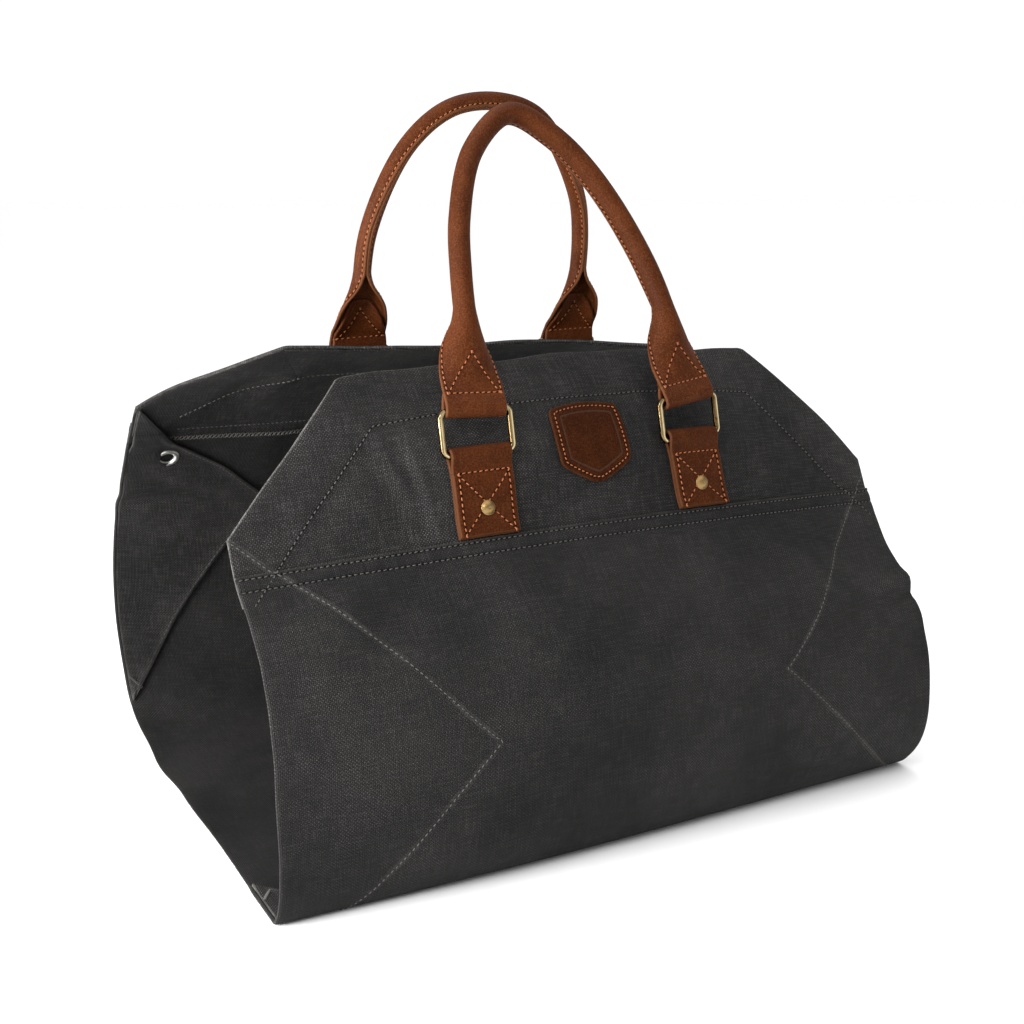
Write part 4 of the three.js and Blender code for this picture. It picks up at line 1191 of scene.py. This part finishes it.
def tab_path(bar):
    """The doubled strip in profile: up and out, from the front foot round the bar to the back foot."""
    row = bar - TAB_BOX_DROP * MM
    turn = np.radians(np.linspace(112, -92, 12))
    front = [(up, TAB_FRONT) for up in (0.6 * MM, 10 * MM, 22 * MM, row - 5 * MM)]
    neck = [(row, TAB_FRONT - 0.15 * MM), (row + 4 * MM, TAB_FRONT + 0.9 * MM)]
    bend = np.column_stack([bar + TAB_LOOP * np.cos(turn), BAR_OUT + TAB_LOOP * np.sin(turn)])
    back = [(up, TAB_BACK) for up in (row + 4 * MM, row - 5 * MM, 22 * MM, 10 * MM, 0.3 * MM)]
    return smooth_run(np.array([[*front, *neck, *bend, *back]]), 6)[0]


def spread(run, step):
    """A run of points at even steps, with closer ones inside the rounded rim at both ends."""
    length = run_length(run)
    places = edged(length[-1], step, LEATHER / 2)
    return places, along_run(places, length, run)


# Added to the distance from a line where the line isn't sewn or doesn't show.
ROW_OFF = 50 * MM


def tab_shell(side, tab):
    """A doubled strip lying on the yoke."""
    along, path = spread(tab_path(tab[2] * MM), 1.5 * MM)
    across = edged(2 * TAB_HALF, 1.8 * MM, LEATHER / 2) - TAB_HALF
    slope = unit(np.gradient(path, axis=0))
    up, shift = np.meshgrid(path[:, 0], across, indexing="ij")
    out = np.broadcast_to(path[:, 1:], up.shape)
    side_gap = TAB_HALF - np.abs(shift)
    gap = np.minimum(np.minimum(along, along[-1] - along)[:, None], side_gap)
    half = round_rim(LEATHER / 2, gap)
    cup = 0.25 * MM * np.cos(shift / TAB_HALF * math.pi / 2) * smoothstep(0.0, 0.006, along)[:, None]

    def face(offset):
        x, rise = tab_x(tab, up) + shift, up - slope[:, 1:] * offset
        return lay(x, girth_at(side, x, rise), out + slope[:, :1] * offset + cup, folds=False)

    flat = np.stack([shift, np.broadcast_to(along[:, None], shift.shape)], axis=2)
    row_gap = side_gap - TAB_ROW + ROW_OFF * smoothstep(0.0, 0.004, up - (tab[2] - TAB_BOX_DROP) * MM)
    return shell(face(half), face(-half), flat, {"rim": line(gap), "row": line(row_gap)})


LEATHER_ROW = dict(
    Spacing=3.6 * MM, Length=2.6 * MM, Thickness=0.9 * MM, Slant=0.14, Jitter=0.06, Lift=0.1 * MM)
LEATHER_HOLE = dict(
    Spacing=3.6 * MM, Length=1.5 * MM, Thickness=0.95 * MM, Slant=0.0, Jitter=0.0, Lift=-0.1 * MM)
# Height of the foot of a tab's sewn box, in mm.
TAB_BOX_FOOT = 1.5


def sew_leather(name, rows, stitch, hole):
    """Tan thread along rows on leather, with the needle holes between its stitches."""
    sew(name + "_stitching", rows, tan_thread, "leather", **stitch)
    holes = [between(row, hole["Spacing"]) for row in rows]
    sew(name + "_needle_holes", holes, brown_hole, "leather", **hole)


for side in SIDES:
    sewn = []
    for hand, tab in zip(("left", "right"), TABS[side]):
        name = "tab_" + side + "_" + hand
        piece(name + "_leather", mesh_of(name, [tab_shell(side, tab)]), tab_leather, name)
        reach, low, high = (TAB_HALF - TAB_ROW) / MM, TAB_BOX_FOOT, tab[2] - TAB_BOX_DROP
        foot, head = (tab_x(tab, up * MM) / MM for up in (low, high))
        box = [(foot - reach, low), (head - reach, high), (head + reach, high), (foot + reach, low)]
        cross = [[(foot - turn * reach, low + 0.5), (head + turn * reach, high - 1)] for turn in (1, -1)]
        sewn += [on_cloth(side, run, TAB_FRONT + LEATHER / 2 + 0.15 * MM) for run in (box, *cross)]
    sew_leather(side + "_tab", sewn, LEATHER_ROW, LEATHER_HOLE)


# Rivets
# Domed brass caps through both layers of each tab and the yoke, with a flat washer inside.
# They are pressed from antiqued brass.
cap_brass = metal_material("cap_brass", (0.30, 0.195, 0.080), (0.16, 0.096, 0.034), 0.30)
# Radius and height in mm: the dome and its rim, the shank, then the washer.
CAP_FORM = (
    (POLE, 2.35), (1.1, 2.25), (2.2, 1.9), (3.2, 1.35), (3.9, 0.75), (4.1, 0.62), (4.5, 0.5), (4.6, 0.2),
    (4.5, -0.1), (1.6, -0.1), (1.6, -9.0), (4.2, -9.0), (4.3, -9.4), (4.1, -9.8), (POLE, -9.9),
)
# Foot of the dome, on the tab's outer face.
CAP_FOOT = TAB_FRONT + LEATHER / 2 + 0.2 * MM
for side, end, hand, _ in CORNERS:
    name = "rivet_" + side + "_" + hand
    up = TABS[side][end][3] * MM
    x = tab_x(TABS[side][end], up)
    girth = girth_at(side, np.array(x), np.array(up))
    low, high = (lay(x, girth, CAP_FOOT + rise, folds=False) for rise in (0.0, MM))
    piece(name + "_cap", mesh_of(name, [turned(CAP_FORM, low, high - low)]), cap_brass, name)


# Rings
# Four rectangular rings bent from 4 mm brass wire, closed at a brazed joint.
# The lower bar lies in the tab and the upper bar in the handle's folded end.
# The bright colour is a painted highlight along each face of the wire, the dark one painted shade on its
# flanks.
brass = metal_material("wire_brass", (0.95, 0.76, 0.42), (0.050, 0.026, 0.008), 0.14)
WIRE = 2.0 * MM
RING_SPAN = 25.5 * MM
RING_HALF = 22.2 * MM
RING_CORNER = 3.8 * MM
# Places either side of a bar's middle that give its direction.
BAR_REACH = 20 * MM
RING_TILT = {"front": 0.40, "back": 0.26}
# Turn of a ring in its own plane, in degrees, and how far that lowers it in the tab.
RING_ROLL = {"front": (0.0, 4.0), "back": (0.0, 0.0)}
ROLL_DROP = 15 * MM
# Where round the wire the highlight is painted, and how much painted shade it takes by the angle from there,
# in degrees.
PAINTED_HIGHLIGHT_TURN = (10, 170)
PAINTED_SHADE_BY_TURN = ((0, 0), (10, 0.5), (20, 0.72), (30, 0.8), (50, 0.9), (70, 1))


def ring_frame(side, end):
    """Middle of the lower bar, the direction across and the direction up the ring."""
    tab = TABS[side][end]
    bar = tab[2] * MM
    x = tab_x(tab, bar)
    places = [x + shift for shift in (-BAR_REACH, 0.0, BAR_REACH)]
    bars = [lay(place, girth_at(side, place, bar), BAR_OUT, folds=False) for place in places]
    across = unit(bars[2] - bars[0])
    normal = outward(x, girth_at(side, x, bar + RING_SPAN / 2), BAR_OUT)[1]
    along = unit(np.cross(normal, across)) * (1 if side == "front" else -1)
    up = along * math.cos(RING_TILT[side]) + normal * math.sin(RING_TILT[side])
    up = unit(up - across * np.dot(up, across))
    roll = math.radians(RING_ROLL[side][end])
    cos, sin = math.cos(roll), math.sin(roll)
    return bars[1] - up * abs(sin) * ROLL_DROP, across * cos + up * sin, up * cos - across * sin


def ring_wire(side, end, sides=36):
    """A ring of round wire, with a painted highlight along a line on either face and painted shade on its
    flanks.
    """
    centre, across, up = ring_frame(side, end)
    loop = []
    for sx, start, level in (
        (1, -90, RING_CORNER),
        (1, 0, RING_SPAN - RING_CORNER),
        (-1, 90, RING_SPAN - RING_CORNER),
        (-1, 180, RING_CORNER),
    ):
        for angle in np.radians(start + np.linspace(0, 90, 9)):
            a = sx * (RING_HALF - RING_CORNER) + RING_CORNER * math.cos(angle)
            loop.append(centre + across * a + up * (level + RING_CORNER * math.sin(angle)))
    run = np.array(loop)
    tangent = unit(np.roll(run, -1, axis=0) - np.roll(run, 1, axis=0))
    face = unit(np.cross(run[1] - run[0], run[len(run) // 3] - run[0]))
    side_way = np.cross(tangent, face)
    turn = np.linspace(0, 2 * math.pi, sides, endpoint=False)
    spokes = np.cos(turn)[:, None, None] * face + np.sin(turn)[:, None, None] * side_way
    gap = np.abs(np.angle(np.exp(1j * (turn - np.radians(PAINTED_HIGHLIGHT_TURN)[:, None])))).min(axis=0)
    painted_shade = np.interp(np.degrees(gap), *zip(*PAINTED_SHADE_BY_TURN))
    return closed_grid(run + WIRE * spokes, {"painted_shade": np.repeat(painted_shade, len(run))})


for side, end, hand, _ in CORNERS:
    name = "ring_" + side + "_" + hand
    piece(name + "_wire", mesh_of(name, [ring_wire(side, end)]), brass, name)


# Handles
# Each handle is one strap of saddle leather, its ends folded round the upper bars of two rings.
# Along the grip the strap is rolled to a tube and its long edges are sewn face to face in a flange.
# Radius of the strap round a ring's bar, and the gap between its layers.
HANDLE_LOOP = 3.5 * MM
LAYER_GAP = 0.1 * MM
# The tube: how far round the strap is curled, in radians, and the width of strap in it.
TUBE_CURL = 5.43
TUBE_ARC = {"front": 30.0 * MM, "back": 25.4 * MM}
# How much sooner than on the front handle the strap is rolled up, and the turn of its feet in degrees.
HASTE = {"front": 1.0, "back": 1.14}
FOOT_ROLL = {"front": (-4.0, 5.0), "back": (5.0, 3.0)}
# The flange: how far each edge turns back, in radians, the width of that turn and of the flat past it.
LIP_TURN = 1.145
LIP_RUN = 2.0 * MM
LIP_FLAT = 1.6 * MM
# Distance of the sewn row from the edge.
STRAP_ROW = 2.4 * MM
# Distance from the ring and the angle through which the strap is curled, in mm and radians.
CURL = ((0, 0.0), (9, 0.0), (16, 0.45), (22, 1.1), (33, 2.05), (44, 3.2), (55, 4.55), (63, TUBE_CURL))
# Distance from the ring and half width of the flat strap, then of the end folded in behind it, in mm.
STRAP_HALF = ((0, 19.3), (8, 19.4), (14, 19.6), (26, 19.8), (37.5, 19.8), (48.6, 19.4))
INNER_HALF = ((0, 19.3), (14, 18.4), (24, 16.5), (31, 13), (36, 8.5))
# Share of the run and how far the seam turns from the inner side to the inside of the arch, in degrees.
SEAM_TURN = {
    "front": ((0, 0), (0.25, 8), (0.5, 28), (0.7, 50), (0.85, 45), (1, 0)),
    "back": ((0, 0), (0.2, -10), (0.35, 12), (0.5, 25), (0.65, 10), (0.8, -8), (1, 0)),
}
# Points that the middle of each handle goes through, from the left ring to the right one, in mm.
HANDLE_ROUTE = {
    "front": (
        (-72.5, -90.5, 308), (-68.9, -76, 343), (-62.8, -62.6, 376), (-44.5, -45.8, 416), (-15, -38, 438.2),
        (11.8, -42.5, 426), (36.4, -52.6, 400.5), (59.6, -70, 357.5), (70.3, -85.5, 321),
    ),
    "back": (
        (-89.5, 30, 321), (-87.2, 19, 366), (-66, 7.5, 416.5), (-40, 1.8, 440.5), (-12, 0.5, 447.3),
        (19, 1.2, 443), (38, 4, 430.5), (66, 13.8, 389), (73.4, 20, 362), (76, 29, 324),
    ),
}


def table(rows, value):
    """A value read from a table of two columns."""
    return np.interp(value, [row[0] for row in rows], [row[1] for row in rows])


class Handle:
    """The run of one handle from ring to ring, with the rolled strap laid along it."""

    def __init__(self, side):
        feet = [ring_frame(side, end) for end in (0, 1)]
        self.side = side
        self.bars = []
        for (_, across, up), roll in zip(feet, np.radians(FOOT_ROLL[side])):
            self.bars.append(across * math.cos(roll) + up * math.sin(roll))
        self.haste = HASTE[side]
        ends = [centre + up * RING_SPAN for centre, _, up in feet]
        route = np.array(HANDLE_ROUTE[side], float) * MM
        self.run = smooth_run(np.array([[ends[0], *route, ends[1]]]), 40)[0]
        self.length = run_length(self.run)
        self.total = self.length[-1]
        rise = route[4] - (ends[0] + ends[1]) / 2
        self.inside = 1 if side == "front" else -1
        self.normal = unit(np.array([0, -rise[2], rise[1]])) * self.inside
        self.arc = TUBE_ARC[side]

    def foot(self, s):
        """Distance from the nearer ring."""
        return np.minimum(s, self.total - s)

    def half_width(self, s):
        """Half width of the flat strap."""
        foot, grip = self.foot(s) * self.haste, self.arc / 2 + LIP_RUN + LIP_FLAT
        wide = table(STRAP_HALF, foot / MM) * MM
        return wide + (grip - wide) * smoothstep(0.036, 0.064, foot)

    def at(self, s):
        """Points of the run."""
        return along_run(s, self.length, self.run)

    def frame(self, s):
        """Point, direction along, outward and across at lengths along the run."""
        step = 3 * MM
        along = unit(self.at(np.clip(s + step, 0, self.total)) - self.at(np.clip(s - step, 0, self.total)))
        out = unit(self.normal - along * (along @ self.normal)[..., None])
        across = np.cross(along, out)
        for bar, foot in zip(self.bars, (s, self.total - s)):
            hold = smoothstep(0.045, 0.008, foot)[..., None]
            facing = np.where((across @ bar) < 0, -1.0, 1.0)[..., None]
            across = unit(across + (bar * facing - across) * hold)
        along = unit(along - across * np.sum(along * across, axis=-1, keepdims=True))
        out = unit(np.cross(across, along))
        return self.at(s), along, out, across

    def strap(self, s, v, lift):
        """Points of the strap: s along the run, v across the flat strap, lift out of its middle face."""
        s, v, lift = np.broadcast_arrays(np.asarray(s, float), np.asarray(v, float), np.asarray(lift, float))
        point, _, out, across = self.frame(s)
        foot = self.foot(s) * self.haste
        curl = table(CURL, foot / MM)
        wide = 2 * self.half_width(s)
        bent = wide + (self.arc - wide) * smoothstep(0.039, 0.063, foot)
        lip = LIP_TURN * smoothstep(0.045, 0.063, foot)

        def turn_at(q):
            return curl * np.minimum(q, bent / 2) / bent - lip * np.clip((q - bent / 2) / LIP_RUN, 0, 1)

        a, n = np.zeros_like(s), np.zeros_like(s)
        steps = 48
        for k in range(steps):
            turn = turn_at((k + 0.5) / steps * np.abs(v))
            a += np.cos(turn) * np.abs(v) / steps
            n -= np.sin(turn) * np.abs(v) / steps
        turn = turn_at(np.abs(v))
        near = 1.3 * MM
        spine = near + (HANDLE_LOOP - near) * smoothstep(0.012, 0.0, foot)
        spine = spine + (self.arc / TUBE_CURL - near) * smoothstep(0.016, 0.056, foot)
        a = np.sign(v) * (a + np.sin(turn) * lift)
        n = spine + n + np.cos(turn) * lift
        twist = np.radians(table(SEAM_TURN[self.side], s / self.total)) * self.inside
        twist = twist * smoothstep(0.045, 0.100, foot)
        cos, sin = np.cos(twist)[..., None], np.sin(twist)[..., None]
        return point + (across * cos + out * sin) * a[..., None] + (out * cos - across * sin) * n[..., None]

    def folded(self, end, v, lift, places):
        """Points of the end folded in: places of up and out from the grip's inner side down round the bar."""
        s = 0.0 if end == 0 else self.total
        point, along, out, across = (part[0] for part in self.frame(np.array([s])))
        along = along if end == 0 else -along
        slope = unit(np.gradient(places, axis=0))
        up = places[:, :1] - slope[:, 1:] * lift
        rise = places[:, 1:] + slope[:, :1] * lift
        round_bar = point + along * up[..., None] + out * rise[..., None] + across * v[..., None]
        level = np.clip(places[:, :1], 0, 1) + 0 * v
        behind = self.strap(level if end == 0 else self.total - level, v, -LEATHER - LAYER_GAP - lift)
        follow = smoothstep(6 * MM, 13 * MM, places[:, :1])[..., None]
        return round_bar + (behind - round_bar) * follow


def handle_shell(handle):
    """The strap's mesh in one strip: inner end, fold, grip, fold, inner end."""
    turn = np.radians(np.linspace(90, 270, 15))[1:]
    bend = np.stack([HANDLE_LOOP * np.cos(turn), HANDLE_LOOP * np.sin(turn)], axis=1)
    inner = np.array([(up * MM, out * MM) for up, out in ((8, -2.1), (14, -1.2), (24, -1.2), (36, -1.2))])
    fold = smooth_run(np.concatenate([bend, inner])[None], 4)[0]
    length = run_length(fold)
    places = length[-1] - edged(length[-1], 1.6 * MM, LEATHER / 2)[:-3]
    fold = along_run(places, length, fold)
    across = edged(2.0, 0.055, 0.055) - 1
    inner_half = table(INNER_HALF, fold[:, 0] / MM) * MM
    grip = np.linspace(0.6 * MM, handle.total - 0.6 * MM, 300)
    half_width = np.concatenate([inner_half, handle.half_width(grip), inner_half[::-1]])[:, None]
    v = half_width * across
    end_gap = length[-1] - places
    gap = np.concatenate([end_gap, np.full(len(grip), 1.0), end_gap[::-1]])[:, None]
    border = np.minimum(gap, half_width - np.abs(v))
    half = round_rim(LEATHER / 2, border)
    first, last = len(places), len(places) + len(grip)

    def face(sign):
        left = handle.folded(0, v[:first], sign * half[:first], fold)
        rolled = handle.strap(grip[:, None], v[first:last], sign * half[first:last])
        right = handle.folded(1, v[last:][::-1], sign * half[last:][::-1], fold)[::-1]
        return np.concatenate([left, rolled, right])

    along = np.cumsum(np.full(len(v), 1.6 * MM))
    flat = np.stack([v, np.broadcast_to(along[:, None], v.shape)], axis=2)
    bare, unsewn = np.ones(len(places)), 1 - smoothstep(0.007, 0.011, handle.foot(grip))
    plain = ROW_OFF * np.concatenate([bare, unsewn, bare])[:, None]
    tucked = ROW_OFF * smoothstep(0.010, 0.016, fold[:, 0])
    hidden = np.concatenate([tucked, np.zeros(len(grip)), tucked[::-1]])[:, None]
    values = {"rim": line(border + hidden), "row": line(border - STRAP_ROW + plain)}
    return shell(face(1), face(-1), flat, values)


def on_strap(handle, s, v, lift=LEATHER / 2):
    """A sewn line on the outer face of the strap, or at a lift below it facing in."""
    points, beyond = handle.strap(s, v, lift), handle.strap(s, v, lift + math.copysign(MM, lift))
    return points, unit(beyond - points)


handle_leather = leather_material("handle_leather", 0.40, 0.07)
# The sewn triangle of each foot: distance of its base from the ring, half its base and its tip, in mm.
FOOT_BASE = 9.5
FOOT_HALF = 16.3
FOOT_TIP = 34
for side in SIDES:
    handle = Handle(side)
    name = "handle_" + side
    piece(name + "_leather", mesh_of(name, [handle_shell(handle)]), handle_leather, name)
    whole = np.linspace(FOOT_BASE * MM, handle.total - FOOT_BASE * MM, 320)
    rows = [on_strap(handle, whole, sign * (handle.half_width(whole) - STRAP_ROW)) for sign in (-1, 1)]
    left, right, tip = (-FOOT_HALF, FOOT_BASE), (FOOT_HALF, FOOT_BASE), (0, FOOT_TIP / HASTE[side])
    run = np.linspace(0, 1, 14)
    for end in (0, 1):
        for (v0, s0), (v1, s1) in ((left, right), (left, tip), (right, tip)):
            s, v = (s0 + (s1 - s0) * run) * MM, (v0 + (v1 - v0) * run) * MM
            s = s if end == 0 else handle.total - s
            rows += [on_strap(handle, s, v), on_strap(handle, s, v, -1.5 * LEATHER - LAYER_GAP)]
    sew_leather(name, rows, LEATHER_ROW, LEATHER_HOLE)


# Patch
# A shield of the same leather sewn on the front yoke between the tabs.
# A stitched border and one pressed line follow its outline.
# Middle along X, heights of the tip and of the top above the seam, bow of the top, and thickness.
PATCH_X = 2 * MM
PATCH_LOW = 23.5 * MM
PATCH_TOP = 73 * MM
PATCH_BOW = 3 * MM
PATCH_THICK = 2.0 * MM
# Distance of the sewn row and of the pressed line from the edge, and from stitch to stitch.
PATCH_ROW = 3.2 * MM
PATCH_LINE = 7.0 * MM
PATCH_STITCH = 2.9 * MM
# Share of the height and half width in mm.
PATCH_FORM = (
    (0, 2.5), (0.015, 4.8), (0.05, 8.6), (0.10, 13.4), (0.16, 18.7), (0.21, 22.6), (0.25, 24.6),
    (0.30, 25.4), (0.5, 25.7), (0.75, 25.4), (0.92, 24.9), (0.97, 24.2), (1, 22.6),
)


def patch_half(height):
    """Half width of the shield at a share of its height."""
    return table(PATCH_FORM, height) * MM


def patch_outline(inset):
    """The border line at an inset, from the tip round to the tip."""
    height = np.linspace(0, 1, 60)
    tall = PATCH_TOP - PATCH_LOW
    right = np.column_stack([patch_half(height), PATCH_LOW + tall * height])
    top_x = np.linspace(1, -1, 30)[1:-1] * patch_half(1.0)
    top = np.column_stack([top_x, PATCH_TOP + PATCH_BOW * (1 - (top_x / patch_half(1.0)) ** 2)])
    loop = np.concatenate([right, top, right[::-1] * (-1, 1)])
    slope = unit(np.roll(loop, -1, axis=0) - np.roll(loop, 1, axis=0))
    return loop + np.column_stack([-slope[:, 1], slope[:, 0]]) * inset


def patch_shell():
    """The shield as a grid from tip to top."""
    tall = PATCH_TOP - PATCH_LOW
    height = edged(tall, 1.0 * MM, PATCH_THICK / 2) / tall
    share = edged(2.0, 0.045, 0.05) - 1
    h, s = np.meshgrid(height, share, indexing="ij")
    x = s * patch_half(h)
    up = PATCH_LOW + tall * h + PATCH_BOW * (1 - s**2) * smoothstep(0.5, 1.0, h)
    loop = patch_outline(0.0)
    flat = np.stack([x, up], axis=2)
    border = np.linalg.norm(flat[:, :, None] - loop, axis=3).min(axis=2)
    border[0], border[-1], border[:, 0], border[:, -1] = 0, 0, 0, 0
    half = round_rim(PATCH_THICK / 2, border)
    pressed = 0.35 * MM * ridge(border, PATCH_LINE, 0.8 * MM)
    puff = 0.5 * MM * smoothstep(0.0, 0.006, border)
    middle = YOKE_FACE + 0.15 * MM + PATCH_THICK / 2
    girth = girth_at("front", PATCH_X + x, up)
    outer = lay(PATCH_X + x, girth, middle + half - pressed + puff, folds=False)
    inner = lay(PATCH_X + x, girth, middle - half, folds=False)
    lines = {"rim": 0.0, "row": PATCH_ROW, "tooled": PATCH_LINE}
    return shell(outer, inner, flat, {name: line(border - inset) for name, inset in lines.items()})


patch_leather = leather_material("patch_leather", 0.20, 0.04)
piece("patch_leather", mesh_of("patch", [patch_shell()]), patch_leather, "patch")
border_run = patch_outline(PATCH_ROW)
border_run = np.concatenate([border_run, border_run[:1]]) + (PATCH_X, 0)
border_line = [on_cloth("front", border_run / MM, YOKE_FACE + PATCH_THICK + 0.4 * MM)]
patch_row = {**LEATHER_ROW, "Spacing": PATCH_STITCH, "Length": 2.1 * MM}
patch_hole = {**LEATHER_HOLE, "Spacing": PATCH_STITCH}
sew_leather("patch", border_line, patch_row, patch_hole)


# Studio
# A plain pale floor under soft light from the upper left, seen from the height of a table.
# The sky is white at the level and overhead, with a grey band between for the metal to mirror.
def floor_material():
    """Matt white paper."""
    material, shader, solid = new_material("studio_floor")
    grain = solid.noise(3.0, 2.0)
    colour = mix(grain, (0.96, 0.96, 0.96), (0.98, 0.98, 0.98))
    surface(shader, colour, 0.8 + 0.1 * grain, grain, 0.1 * MM, 0.1)
    return material


def stage(name, data):
    """An object that belongs to the studio and not to the model."""
    thing = bpy.data.objects.new(name, data)
    bpy.context.scene.collection.objects.link(thing)
    thing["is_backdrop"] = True
    return thing


def soft_light(name, place, target, size, power):
    """A round soft lamp at a place, turned to a target."""
    lamp = bpy.data.lights.new(name, "AREA")
    lamp.shape = "DISK"
    lamp.size = size
    lamp.energy = power
    holder = stage(name, lamp)
    way = np.array(target) - np.array(place)
    flat = math.hypot(way[0], way[1])
    holder.location = place
    holder.rotation_euler = (math.atan2(flat, -way[2]), 0, math.atan2(way[1], way[0]) - math.pi / 2)


# Half the floor's width, in metres.
FLOOR_HALF = 30
floor_mesh = bpy.data.meshes.new("floor")
floor_corners = [(FLOOR_HALF * x, FLOOR_HALF * y, 0) for x, y in ((-1, -1), (1, -1), (1, 1), (-1, 1))]
floor_mesh.from_pydata(floor_corners, [], [(0, 1, 2, 3)])
floor_mesh.materials.append(floor_material())
stage("floor", floor_mesh)
# Place, target and width in metres, and power in watts.
LAMPS = {
    "key": ((-1.35, -0.95, 1.35), (0, 0, 0.2), 0.8, 15),
    "fill": ((-1.15, -0.14, 0.36), (0, 0.16, 0.26), 0.5, 24),
    "top": ((0.2, 0.5, 2.4), (0, 0, 0.1), 1.6, 9),
}
for name, lamp in LAMPS.items():
    soft_light(name, *lamp)
world = bpy.data.worlds.new("studio")
world.use_nodes = True
way_out = Shade(world.node_tree).node("ShaderNodeTexCoord", {}, {}, 0)
height = way_out.node("ShaderNodeSeparateXYZ", {}, {0: way_out}, 2)
sky = mix(height.ramp(0.12, 0.34), (1.08, 1.08, 1.08), (0.46, 0.46, 0.46))
sky = mix(height.ramp(0.55, 0.95), sky, (1.75, 1.75, 1.75))
world.node_tree.links.new(sky.socket, world.node_tree.nodes["Background"].inputs["Color"])
bpy.context.scene.world = world
# Place in metres, turn about Z and dip below the level in degrees, then focal length and sensor in mm.
CAMERA_PLACE = (-0.4404, -0.8077, 0.3976)
CAMERA_TURN = -29.03
CAMERA_DIP = 13.69
CAMERA_LENS = 47.88
CAMERA_SENSOR = 36
lens = bpy.data.cameras.new("camera")
lens.sensor_width = CAMERA_SENSOR
lens.lens = CAMERA_LENS
camera = stage("camera", lens)
camera.location = CAMERA_PLACE
camera.rotation_euler = (math.radians(90 - CAMERA_DIP), 0, math.radians(CAMERA_TURN))
bpy.context.scene.camera = camera
bpy.context.scene.view_settings.view_transform = "Standard"
low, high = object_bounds()
